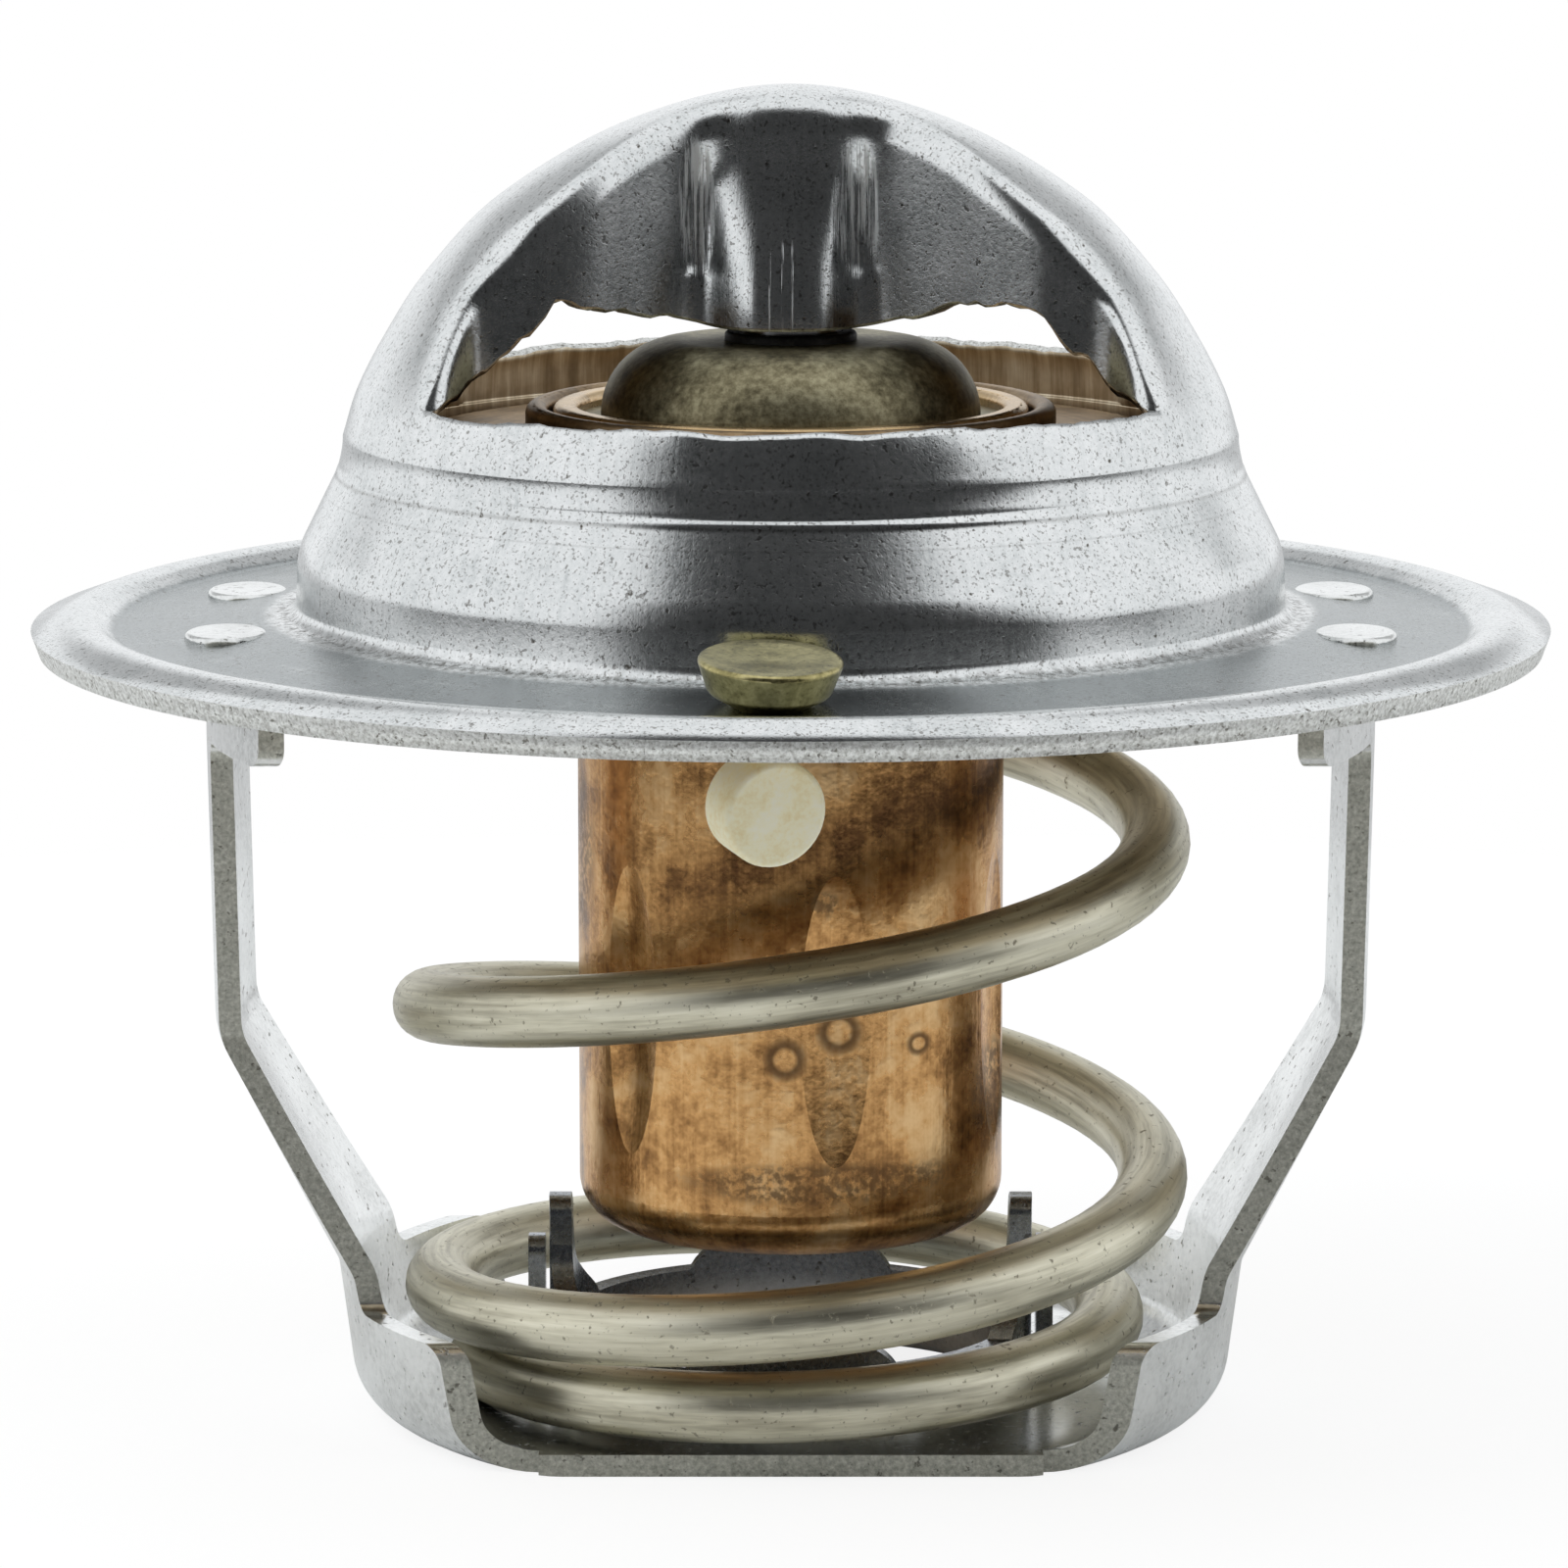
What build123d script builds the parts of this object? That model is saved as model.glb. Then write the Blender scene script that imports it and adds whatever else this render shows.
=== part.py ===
from build123d import *
import math
import os

# Engine thermostat: a wax capsule that pushes its own valve plate down against a spring.
# Millimetres, +Z up, origin at the middle of the base's underside, on the axis of the valve.
# The two windows of the crown face -Y and +Y, and the two legs of the lower frame stand at -X and +X.

# ---------------------------------------------------------------- driving dimensions, millimetres
# Flange, the washer-like rim that an engine clamps between two housings
crown_sheet = 0.78
flange_radius = 27.0
flange_underside = 27.75
bead_inner_radius = 24.0
bead_crest_radius = 25.1
bead_rise = 0.72
bead_foot_bend = 0.6
bead_crest_bend = 1.2
rim_slope = 0.36
rim_round = 0.1

# Crown, drawn up from the flange
foot_radius = 17.6
foot_bend = 2.0
bulge_radius = 17.55
bulge_height = 31.2
bulge_bend = 2.5
neck_radius = 15.9
neck_foot_height = 34.5
neck_foot_bend = 3.2
groove_depth = 0.1
groove_round = 0.25
neck_top = 35.3
apex_height = 47.65
# Half section of the dome between apex and neck, as shares of the neck's radius and of the dome's height
dome_shares = [(0.343, 0.906), (0.650, 0.683), (0.816, 0.461), (0.903, 0.291), (0.968, 0.130)]
dome_steps = 10

# Windows of the crown and the pinched bridge above them
window_bottom = 37.1
window_half = 12.75
waist_half = 2.05
waist_reach = 2.9
lobe_half = 5.5
lobe_reach = 6.6
arm_half = 6.35
arm_reach = 10.9
ridge_round = 0.3
plan_steps = 40
skirt_corner_reach = 7.8
skirt_corner_height = 40.4
skirt_waist_height = 39.65
skirt_nose_height = 39.15

# Lower frame, one drawn strip of sheet
frame_sheet = 0.78
leg_radius = 20.85
leg_draft = 0.2
leg_knee_height = 14.1
leg_knee_bend = 3.0
cone_foot_radius = 16.35
cone_foot_height = 5.7
cone_foot_bend = 1.6
floor_radius = 15.6
floor_bend = 2.2
leg_half = 3.8
leg_foot_half = 5.4
base_half = 10.5
base_lip = 0.6
base_lip_half_length = 8.8
base_shoulder_height = 4.5
band_half = 9.9
band_bottom = 24.8
outline_round = 0.7

# Tangs of the lower frame, staked over the flange
tang_offset = 5.3
tang_width = 3.2
tang_head_length = 2.9
tang_head_width = 3.9
tang_head_thickness = 0.42
slot_clearance = 0.04

# Guide collar drawn up round the hole in the base, with its fingers and lugs
collar_bore = 7.95
collar_height = 3.1
collar_bend = 0.9
side_finger_height = 7.6
front_finger_height = 7.0
finger_tip_width = 1.7
finger_foot_width = 8.0
finger_flare = 2.0
finger_lean = 0.35
lug_height = 6.1
lug_width = 1.5
lug_thickness = 0.6
lug_gap = 0.15

# Wax capsule: cup, cover, sleeve, wax and gland ring
cup_radius = 7.62
cup_wall = 0.9
cup_bottom = 6.76
cup_corner = 1.7
cup_shelf_height = 34.3
cup_rim_radius = 8.45
cup_rim_wall = 0.5
crimp_reach = 0.9
crimp_round = 0.3
dent_count = 6
dent_depth = 0.32
dent_height = 10.4
dent_middle = 15.4
dent_bulge = 4.0
dent_turn = 12.0
sleeve_radius = 3.9
sleeve_floor = 2.0
sleeve_flange = 0.5
cover_flange = 0.6
cover_radius = 6.75
cover_top = 38.65
cover_shoulder = 2.65
gland_radius = 2.35
gland_height = 0.5
gland_recess = 0.2
cover_flange_gap = 0.1

# Piston, held by the crown
piston_radius = 1.82
piston_bottom = 13.0
piston_top = 46.4
piston_chamfer = 0.3
piston_running_gap = 0.04
socket_gap = 0.03

# Valve plate with the folded collar round the capsule
plate_sheet = 0.78
plate_bore_gap = 0.03
plate_collar_radius = 9.43
plate_collar_top = 36.4
plate_top = 35.25
plate_shelf_radius = 13.9
plate_edge_radius = 15.5
plate_bend = 0.8
seat_gap = 0.06

# Return spring, right-handed, closed at both ends
wire_diameter = 2.5
coil_radius = 13.08
end_coil_radius = 11.35
open_pitch = 12.2
closed_pitch = 2.44
closed_turns = 0.8
pitch_blend_turns = 0.75
narrow_turns = 0.25
widening_turns = 1.05
coil_start_angle = -440.0
steps_per_turn = 12

# Jiggle pin, one brass rivet that hangs in a hole of the flange
pin_x = -0.72
pin_y = -20.7
pin_head_radius = 2.47
pin_head_foot_radius = 2.06
pin_head_height = 1.15
pin_head_dish = 0.12
pin_rim_round = 0.15
pin_cone_depth = 0.5
pin_foot_round = 0.4
pin_cone_radius = 1.2
pin_stem_radius = 0.75
pin_hole_radius = 1.1
pin_weight_radius = 1.82
pin_weight_thickness = 1.9
pin_weight_turn = 24.0
pin_free_travel = 0.72
pin_lean = 7.0
pin_roll = 2.0
pin_seat_gap = 0.04

# ---------------------------------------------------------------- derived sizes
flange_top = flange_underside + crown_sheet
bead_top = flange_top + bead_rise
below_all = -5.0
far = 3.0 * flange_radius
nose_radius = piston_radius + socket_gap + crown_sheet
cone_slope = (leg_radius - leg_draft - cone_foot_radius) / (leg_knee_height - cone_foot_height)
bore_radius = piston_radius + piston_running_gap
cup_shelf_top = cup_shelf_height + cup_rim_wall
sleeve_top = cup_shelf_top + sleeve_flange
cover_seat_top = sleeve_top + cover_flange
plate_floor = cup_shelf_height - plate_sheet
spring_floor = frame_sheet
spring_roof = plate_top - plate_sheet


# ---------------------------------------------------------------- drawing helpers
def around(face):
    """Solid of revolution of a half section drawn as (radius, height)."""
    return revolve(Plane.XZ * face, axis=Axis.Z)


def section(*pieces):
    """Flat face bounded by the given lines and arcs."""
    edges = []
    for piece in pieces:
        edges.extend(piece.edges())
    return make_face(Wire(edges))


def polygon(*points):
    """Flat face from corner points."""
    return make_face(Polyline(*points, close=True).edges())


def rounded(face, corner, radius):
    """The face with the one corner at this place rounded."""
    near = [v for v in face.vertices() if math.hypot(v.X - corner[0], v.Y - corner[1]) < 1e-4]
    return fillet(near, radius)


def ring(inner, outer, bottom, top):
    """Plain ring about the axis."""
    return around(polygon((inner, bottom), (outer, bottom), (outer, top), (inner, top)))


def sheet_side(points, bends, inset):
    """One side of a bent sheet: the corners moved to the right by inset, every bend about its centre."""
    corners = [Vector(*point) for point in points]
    headings = [(b - a).normalized() for a, b in zip(corners, corners[1:])]
    moved = []
    radii = []
    for index, corner in enumerate(corners):
        before = headings[max(index - 1, 0)]
        after = headings[min(index, len(headings) - 1)]
        side = Vector(before.Y + after.Y, -before.X - after.X)
        share = inset * 2 / (side.length * side.length)
        moved.append(corner + side * share)
        if 0 < index < len(corners) - 1:
            turns_right = before.X * after.Y - before.Y * after.X < 0
            bend = bends[index - 1]
            radii.append(bend - inset if turns_right else bend + inset)
    return FilletPolyline(*moved, radius=radii)


def bent_sheet(points, bends, sheet):
    """Section of a bent sheet whose outer side runs through the points, with the metal to its right."""
    outside = sheet_side(points, bends, 0)
    inside = sheet_side(points, bends, sheet)
    return section(outside, inside, Line(outside @ 0, inside @ 0), Line(outside @ 1, inside @ 1))


# ---------------------------------------------------------------- crown and flange
def moved_in(curve, inset, steps):
    """The curve moved to the right of its own direction by inset."""
    points = []
    for step in range(steps + 1):
        place = curve @ (step / steps)
        heading = curve % (step / steps)
        points.append(Vector(place.X + heading.Y * inset, place.Y - heading.X * inset))
    return points


def dome_curve(inset):
    """Half section of the dome from its apex down to the neck."""
    height = apex_height - neck_top
    shape = [(out * neck_radius, neck_top + up * height) for out, up in dome_shares]
    outer = Spline((0, apex_height), *shape, (neck_radius, neck_top), tangents=[(1, 0), (0, -1)])
    if inset == 0:
        return outer
    points = moved_in(outer, inset, dome_steps)
    return Spline(*points, tangents=[(1, 0), (0, -1)])


def dome_radius_at(height):
    """Outer radius of the dome at a height, found by halving."""
    curve = dome_curve(0)
    low, high = 0.0, 1.0
    for _ in range(40):
        middle = (low + high) / 2
        if (curve @ middle).Y > height:
            low = middle
        else:
            high = middle
    return (curve @ low).X


def under_dome(inset):
    """All that lies under the dome's outer side, or its inner side with the sheet as inset."""
    curve = dome_curve(inset)
    foot = Vector((curve @ 1).X, window_bottom - 3)
    axis_foot = Vector(0, window_bottom - 3)
    sides = [Line(curve @ 1, foot), Line(foot, axis_foot), Line(axis_foot, curve @ 0)]
    return around(section(curve, *sides))


def skirt_section():
    """Section of the pressing from the neck down over the bulge and out to the rim."""
    points = [
        (neck_radius, neck_top),
        (neck_radius, neck_foot_height),
        (bulge_radius, bulge_height),
        (foot_radius, flange_top),
        (bead_inner_radius, flange_top),
        (bead_crest_radius, bead_top),
        (flange_radius + crown_sheet, bead_top - rim_slope * (flange_radius + crown_sheet - bead_crest_radius)),
    ]
    bends = [neck_foot_bend, bulge_bend, foot_bend, bead_foot_bend, bead_crest_bend]
    return bent_sheet(points, bends, crown_sheet)


def plan_curve():
    """Plan of one side of the bridge: a nose round the piston, a waist, a lobe, an arm and its flare."""
    end_half = math.sqrt(dome_radius_at(window_bottom) ** 2 - window_half**2)
    flare = end_half - arm_half
    right = [
        (0.66 * waist_reach, 0.57 * nose_radius + 0.43 * waist_half),
        (waist_reach, waist_half),
        (0.5 * (waist_reach + lobe_reach), 0.42 * waist_half + 0.58 * lobe_half),
        (lobe_reach, lobe_half),
        (0.5 * (lobe_reach + arm_reach), 0.35 * lobe_half + 0.65 * arm_half),
        (arm_reach, arm_half),
        (window_half, end_half),
        (window_half + 0.3 * flare, end_half + 1.1 * flare),
    ]
    left = [(-x, y) for x, y in reversed(right)]
    return Spline(*left, (0, nose_radius), *right)


def bridge_column(inset):
    """Upright column with the bridge's plan, moved in through the sheet by inset."""
    back = plan_curve()
    if inset > 0:
        back = Spline(*moved_in(back, inset, plan_steps))
    front = mirror(back, about=Plane.XZ)
    right_end = Line(back @ 1, front @ 1)
    left_end = Line(front @ 0, back @ 0)
    plan = section(back, right_end, front, left_end)
    return extrude(plan, apex_height + 5)


def ridged_dome():
    """The dome trimmed to the bridge's plan, with its two ridges rounded."""
    body = under_dome(0) & bridge_column(0)
    long_edges = [edge for edge in body.edges() if edge.length > 3 * window_half]
    ridges = [edge for edge in long_edges if (edge @ 0.5).Z > window_bottom]
    return fillet(ridges, ridge_round)


def window_cutter():
    """What the two windows remove below the bridge, seen along Y."""
    right = [
        (window_half, window_bottom),
        (window_half, window_bottom + 0.25),
        (0.5 * (window_half + skirt_corner_reach), 0.62 * window_bottom + 0.38 * skirt_corner_height),
        (skirt_corner_reach + 0.5, skirt_corner_height - 0.15),
        (skirt_corner_reach - 0.4, skirt_corner_height),
        (waist_reach + 0.8, skirt_waist_height),
        (nose_radius, skirt_nose_height + 0.12),
        (0, skirt_nose_height),
    ]
    left = [(-x, z) for x, z in reversed(right[:-1])]
    return extrude(Plane.XZ * polygon(*right, *left), amount=far, both=True)


def pin_hole():
    """Hole of the flange in which the jiggle pin hangs."""
    return Pos(pin_x, pin_y, flange_underside) * Cylinder(pin_hole_radius, 4 * crown_sheet)


def tang_boxes(growth):
    """Upright boxes at the four tangs, widened by growth."""
    width = tang_width + 2 * growth
    box = Box(far, width, far)
    return Pos(0, tang_offset, flange_top) * box + Pos(0, -tang_offset, flange_top) * box


def leg_band(growth, bottom, top):
    """Ring that the band of the lower frame lies in, thickened by growth."""
    return ring(leg_radius - frame_sheet - growth, leg_radius + growth, bottom, top)


def crown_flange():
    """One pressing: flange, bulge, neck, dome, two windows and the pinched bridge between them."""
    above = Pos(0, 0, window_bottom) * Box(far, far, far, align=(Align.CENTER, Align.CENTER, Align.MIN))
    bridge = (ridged_dome() - (under_dome(crown_sheet) & bridge_column(crown_sheet))) & above
    neck = (under_dome(0) - under_dome(crown_sheet)) - above
    neck &= Pos(0, 0, neck_top) * Box(far, far, far, align=(Align.CENTER, Align.CENTER, Align.MIN))
    skirt = around(skirt_section()) & Cylinder(flange_radius, far)
    groove = around(Pos(neck_radius + groove_round - groove_depth, neck_foot_height + 0.1) * Circle(groove_round))
    rim = max(skirt.edges().filter_by(GeomType.CIRCLE), key=lambda edge: edge.radius * 100 + (edge @ 0).Z)
    skirt = fillet(rim, rim_round) - groove
    slots = leg_band(slot_clearance, flange_underside - 1, flange_top + 1) & tang_boxes(slot_clearance)
    return skirt + neck + bridge - window_cutter() - pin_hole() - slots


# ---------------------------------------------------------------- lower frame
def frame_section():
    """Section of the frame's strip, from the guide collar out over the base and up the leg."""
    points = [
        (collar_bore, side_finger_height),
        (collar_bore, 0),
        (floor_radius, 0),
        (cone_foot_radius, cone_foot_height),
        (leg_radius - leg_draft, leg_knee_height),
        (leg_radius, band_bottom),
        (leg_radius, flange_underside),
    ]
    bends = [collar_bend, floor_bend, cone_foot_bend, leg_knee_bend, leg_knee_bend]
    mirrored = [(-radius, height) for radius, height in points]
    return mirror(bent_sheet(mirrored, bends, frame_sheet), about=Plane.YZ)


def strip_outline():
    """Outline of the cut strip seen along X: wide base, narrow leg, wide band under the flange."""
    right = [
        (base_half, below_all),
        (base_half, base_shoulder_height),
        (leg_foot_half, base_shoulder_height),
        (leg_half, leg_knee_height),
        (leg_half, band_bottom),
        (band_half, band_bottom),
        (band_half, flange_underside + 1),
    ]
    edge = FilletPolyline(*right, radius=outline_round)
    foot = Line((0, below_all), edge @ 0)
    top = Line(edge @ 1, (0, flange_underside + 1))
    middle = Line((0, flange_underside + 1), (0, below_all))
    half = section(foot, edge, top, middle)
    return half + mirror(half, about=Plane.YZ)


def finger(height):
    """Prism that keeps one finger of the collar: a rounded tip on a flared foot."""
    foot = finger_foot_width / 2
    tip = finger_tip_width / 2
    right = [
        (tip, height),
        (tip + finger_lean, collar_height + finger_flare),
        (foot, collar_height),
        (foot, collar_height - finger_flare),
    ]
    left = [(-y, z) for y, z in reversed(right)]
    round_tip = 0.8 * tip
    bends = [finger_flare, finger_flare, round_tip, round_tip, finger_flare, finger_flare]
    edge = FilletPolyline(*left, *right, radius=bends)
    return extrude(Plane.YZ * section(edge, Line(edge @ 1, edge @ 0)), far)


def collar_gaps():
    """What is cut from the collar's upper part between its four fingers."""
    gaps = ring(collar_bore - frame_sheet, collar_bore + 2 * frame_sheet, collar_height, far)
    for turn in (0, 180):
        gaps -= Rot(0, 0, turn) * finger(side_finger_height)
    for turn in (90, 270):
        gaps -= Rot(0, 0, turn) * finger(front_finger_height)
    return gaps


def lug():
    """Small upright lug outside the collar, rounded at the top."""
    foot = frame_sheet / 2
    body = Box(lug_thickness, lug_width, lug_height - foot, align=(Align.CENTER, Align.CENTER, Align.MIN))
    body = fillet(body.edges().filter_by(Axis.X).group_by(Axis.Z)[-1], lug_width * 0.4)
    return Pos(collar_bore + frame_sheet + lug_gap + lug_thickness / 2, 0, foot) * body


def tang_heads():
    """Four staked heads, spread over the flange from the ends of the tangs."""
    half_length = tang_head_length / 2
    middle_radius = leg_radius - frame_sheet / 2
    across = math.sqrt(middle_radius**2 - tang_offset**2)
    slab = extrude(Ellipse(half_length, tang_head_width / 2), tang_head_thickness)
    upper = slab.edges().sort_by(Axis.Z)[-1]
    slab = fillet(upper, tang_head_thickness * 0.45)
    heads = []
    for x in (-across, across):
        for y in (-tang_offset, tang_offset):
            heads.append(Pos(x, y, flange_top) * slab)
    return heads


def lower_frame():
    """One drawn strip: guide collar with fingers, dished base, two legs and the band under the flange."""
    sheet = around(frame_section())
    strip = extrude(Plane.YZ * strip_outline(), amount=far, both=True)
    lip_box = Box(2 * base_lip_half_length, 2 * (base_half + base_lip), 2 * frame_sheet)
    body = (sheet & (strip + lip_box)) - collar_gaps()
    stubs = leg_band(0, flange_underside, flange_top) & tang_boxes(0)
    body += [lug(), Rot(0, 0, 180) * lug()]
    return body + stubs + tang_heads()


# ---------------------------------------------------------------- wax capsule
def piston():
    """Steel pin that stays in the crown's socket while the capsule slides down it."""
    height = piston_top - piston_bottom
    pin = Pos(0, 0, piston_bottom) * Cylinder(
        piston_radius, height, align=(Align.CENTER, Align.CENTER, Align.MIN)
    )
    return chamfer(pin.edges().filter_by(GeomType.CIRCLE), piston_chamfer)


def wax_cup():
    """Drawn copper cup with leaf-shaped crimp dents, and a rim crimped over the cover's flange."""
    inside = cup_radius - cup_wall
    shell = polygon(
        (0, cup_bottom),
        (cup_radius, cup_bottom),
        (cup_radius, cup_shelf_height),
        (cup_rim_radius, cup_shelf_height),
        (cup_rim_radius, cover_seat_top + cup_rim_wall),
        (cup_rim_radius - crimp_reach, cover_seat_top + cup_rim_wall),
        (cup_rim_radius - crimp_reach, cover_seat_top),
        (cup_rim_radius - cup_rim_wall, cover_seat_top),
        (cup_rim_radius - cup_rim_wall, cup_shelf_top),
        (inside, cup_shelf_top),
        (inside, cup_bottom + cup_wall),
        (0, cup_bottom + cup_wall),
    )
    shell = rounded(shell, (cup_radius, cup_bottom), cup_corner)
    shell = rounded(shell, (inside, cup_bottom + cup_wall), cup_corner - cup_wall)
    crimp_top = cover_seat_top + cup_rim_wall
    shell = rounded(shell, (cup_rim_radius, crimp_top), crimp_round)
    shell = rounded(shell, (cup_rim_radius - crimp_reach, crimp_top), crimp_round)
    cup = around(shell)
    # Each dent is what a slim upright spindle presses into the wall.
    arc_radius = ((dent_height / 2) ** 2 + dent_depth**2) / (2 * dent_depth)
    reach = math.sqrt(arc_radius**2 - (arc_radius - dent_bulge) ** 2)
    bow = ThreePointArc((0, -reach), (dent_bulge, 0), (0, reach))
    spindle = around(section(bow, Line(bow @ 1, bow @ 0)))
    for index in range(dent_count):
        turn = dent_turn - 90 + index * 360 / dent_count
        cup -= Rot(0, 0, turn) * Pos(cup_radius + dent_bulge - dent_depth, 0, dent_middle) * spindle
    return cup


def sleeve():
    """Rubber sleeve that the melting wax squeezes on to the piston."""
    inside = cup_radius - cup_wall
    flange = cup_rim_radius - cup_rim_wall - cover_flange_gap
    floor = piston_bottom - sleeve_floor
    return around(
        polygon(
            (0, floor),
            (sleeve_radius, floor),
            (sleeve_radius, cup_shelf_top - sleeve_flange),
            (inside, cup_shelf_top - sleeve_flange),
            (inside, cup_shelf_top),
            (flange, cup_shelf_top),
            (flange, sleeve_top),
            (bore_radius, sleeve_top),
            (bore_radius, piston_bottom),
            (0, piston_bottom),
        )
    )


def wax():
    """Charge of wax that fills the cup round the sleeve."""
    inside = cup_radius - cup_wall
    fill = polygon(
        (0, cup_bottom + cup_wall),
        (inside - cup_corner + cup_wall, cup_bottom + cup_wall),
        (inside, cup_bottom + cup_corner),
        (inside, cup_shelf_top - sleeve_flange),
        (sleeve_radius, cup_shelf_top - sleeve_flange),
        (sleeve_radius, piston_bottom - sleeve_floor),
        (0, piston_bottom - sleeve_floor),
    )
    return around(fill)


def cover():
    """Brass cover and piston guide, with a domed shoulder and a seat for the gland ring."""
    flange = cup_rim_radius - cup_rim_wall - cover_flange_gap
    half = polygon(
        (flange, sleeve_top),
        (flange, cover_seat_top),
        (cover_radius, cover_seat_top),
        (cover_radius, cover_top),
        (gland_radius, cover_top),
        (gland_radius, cover_top - gland_recess),
        (bore_radius, cover_top - gland_recess),
        (bore_radius, sleeve_top),
    )
    return around(rounded(half, (cover_radius, cover_top), cover_shoulder))


def gland():
    """Black ring that wipes the piston on top of the cover."""
    bottom = cover_top - gland_recess
    body = ring(bore_radius, gland_radius, bottom, bottom + gland_height)
    rim = max(body.edges().filter_by(GeomType.CIRCLE), key=lambda edge: edge.radius * 100 + (edge @ 0).Z)
    return fillet(rim, 0.15)


def seat_height():
    """Height at which the plate's edge would touch the slope between neck and bulge inside the crown."""
    slope_run = bulge_radius - neck_radius
    slope_drop = neck_foot_height - bulge_height
    length = math.hypot(slope_run, slope_drop)
    clearance = (crown_sheet + seat_gap) * length / slope_run
    outside = neck_foot_height - (plate_edge_radius - neck_radius) * slope_drop / slope_run
    return outside - clearance


def valve_plate():
    """Pressed valve plate: floor under the cup's rim, folded collar, shelf and a lower seating edge."""
    bore = cup_radius + plate_bore_gap
    collar_inside = plate_collar_radius - plate_sheet
    edge_top = seat_height()
    shelf_side = (plate_shelf_radius + plate_edge_radius) / 2
    collar = polygon(
        (bore, plate_floor),
        (plate_collar_radius, plate_floor),
        (plate_collar_radius, plate_collar_top),
        (collar_inside, plate_collar_top),
        (collar_inside, cup_shelf_height),
        (bore, cup_shelf_height),
    )
    crest = [v for v in collar.vertices() if v.Y > plate_collar_top - 1e-6]
    collar = fillet(crest, plate_sheet * 0.45)
    points = [
        (plate_collar_radius - plate_sheet / 2, plate_top),
        (plate_shelf_radius, plate_top),
        (plate_shelf_radius + 0.35, edge_top),
        (plate_edge_radius, edge_top),
    ]
    shelf = bent_sheet(points, [plate_bend, 0.15], plate_sheet)
    return around(collar) + around(shelf)


# ---------------------------------------------------------------- spring
def blend_share(turns):
    """Integral of a smooth step that starts at zero turns and lasts for the pitch blend."""
    share = min(max(turns / pitch_blend_turns, 0.0), 1.0)
    inside = pitch_blend_turns * (share / 2 - math.sin(math.pi * share) / (2 * math.pi))
    return inside + max(turns - pitch_blend_turns, 0.0)


def spring_turns():
    """Turns that the wire needs from its seat on the base to its seat under the valve plate."""
    rise = spring_roof - spring_floor - wire_diameter
    ends = 2 * (closed_turns + pitch_blend_turns)
    end_rise = ends * closed_pitch + (open_pitch - closed_pitch) * pitch_blend_turns
    return ends + (rise - end_rise) / open_pitch


def coil_height(turns, total):
    """Height of the wire's middle after some turns; the pitch opens after one end and shuts at the other."""
    opened = blend_share(turns - closed_turns)
    shut = blend_share(turns - (total - closed_turns - pitch_blend_turns))
    start = spring_floor + wire_diameter / 2
    return start + closed_pitch * turns + (open_pitch - closed_pitch) * (opened - shut)


def coil_width(turns, total):
    """Radius of the wire's middle, narrower in the closed end turns."""
    from_end = min(turns, total - turns)
    share = min(max((from_end - narrow_turns) / widening_turns, 0.0), 1.0)
    smooth = share * share * (3 - 2 * share)
    return end_coil_radius + (coil_radius - end_coil_radius) * smooth


def spring():
    """Round wire swept along the coil."""
    total = spring_turns()
    steps = round(total * steps_per_turn)
    points = []
    for step in range(steps + 1):
        turns = total * step / steps
        angle = math.radians(coil_start_angle + 360 * turns)
        radius = coil_width(turns, total)
        points.append((radius * math.sin(angle), -radius * math.cos(angle), coil_height(turns, total)))
    path = Spline(*points)
    start = Plane(origin=path @ 0, z_dir=path % 0)
    return sweep(start * Circle(wire_diameter / 2), path=path)


# ---------------------------------------------------------------- jiggle pin
def jiggle_pin():
    """Brass rivet: dished head above the flange, stem through it and a flattened weight below."""
    lean = math.radians(math.hypot(pin_lean, pin_roll))
    seat = flange_top + pin_seat_gap
    head_foot = seat + pin_cone_depth * math.cos(lean) + pin_cone_radius * math.sin(lean)
    head = polygon(
        (0, -pin_cone_depth),
        (pin_cone_radius, -pin_cone_depth),
        (pin_head_foot_radius, 0),
        (pin_head_radius, pin_head_height),
        (pin_head_radius * 0.75, pin_head_height),
        (0, pin_head_height - pin_head_dish),
    )
    head = rounded(head, (pin_head_foot_radius, 0), pin_foot_round)
    head = rounded(head, (pin_head_radius, pin_head_height), pin_rim_round)
    weight_top = flange_underside - pin_free_travel
    drop = head_foot - weight_top + pin_weight_radius
    stem = Pos(0, 0, -drop) * Cylinder(
        pin_stem_radius, drop + pin_head_height / 2, align=(Align.CENTER, Align.CENTER, Align.MIN)
    )
    disc = Cylinder(pin_weight_radius, pin_weight_thickness, rotation=(90, 0, 0))
    disc = fillet(disc.edges().filter_by(GeomType.CIRCLE), 0.2)
    weight = Pos(0, 0, -drop) * Rot(0, 0, pin_weight_turn) * disc
    pin = around(head) + stem + weight
    return Pos(pin_x, pin_y, head_foot) * Rot(pin_lean, pin_roll, 0) * pin


# ---------------------------------------------------------------- build
NODES = {
    "crown_flange": crown_flange,
    "lower_frame": lower_frame,
    "piston": piston,
    "return_spring": spring,
    "wax_cup": wax_cup,
    "wax_charge": wax,
    "rubber_sleeve": sleeve,
    "brass_cover": cover,
    "gland_ring": gland,
    "valve_plate": valve_plate,
    "jiggle_pin": jiggle_pin,
}


def main():
    os.makedirs("parts", exist_ok=True)
    for name, build in NODES.items():
        solid = build()
        solid.label = name
        export_step(solid, f"parts/{name}.step")
        print(name, round(solid.volume, 2), len(solid.solids()))


if __name__ == "__main__":
    main()
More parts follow.
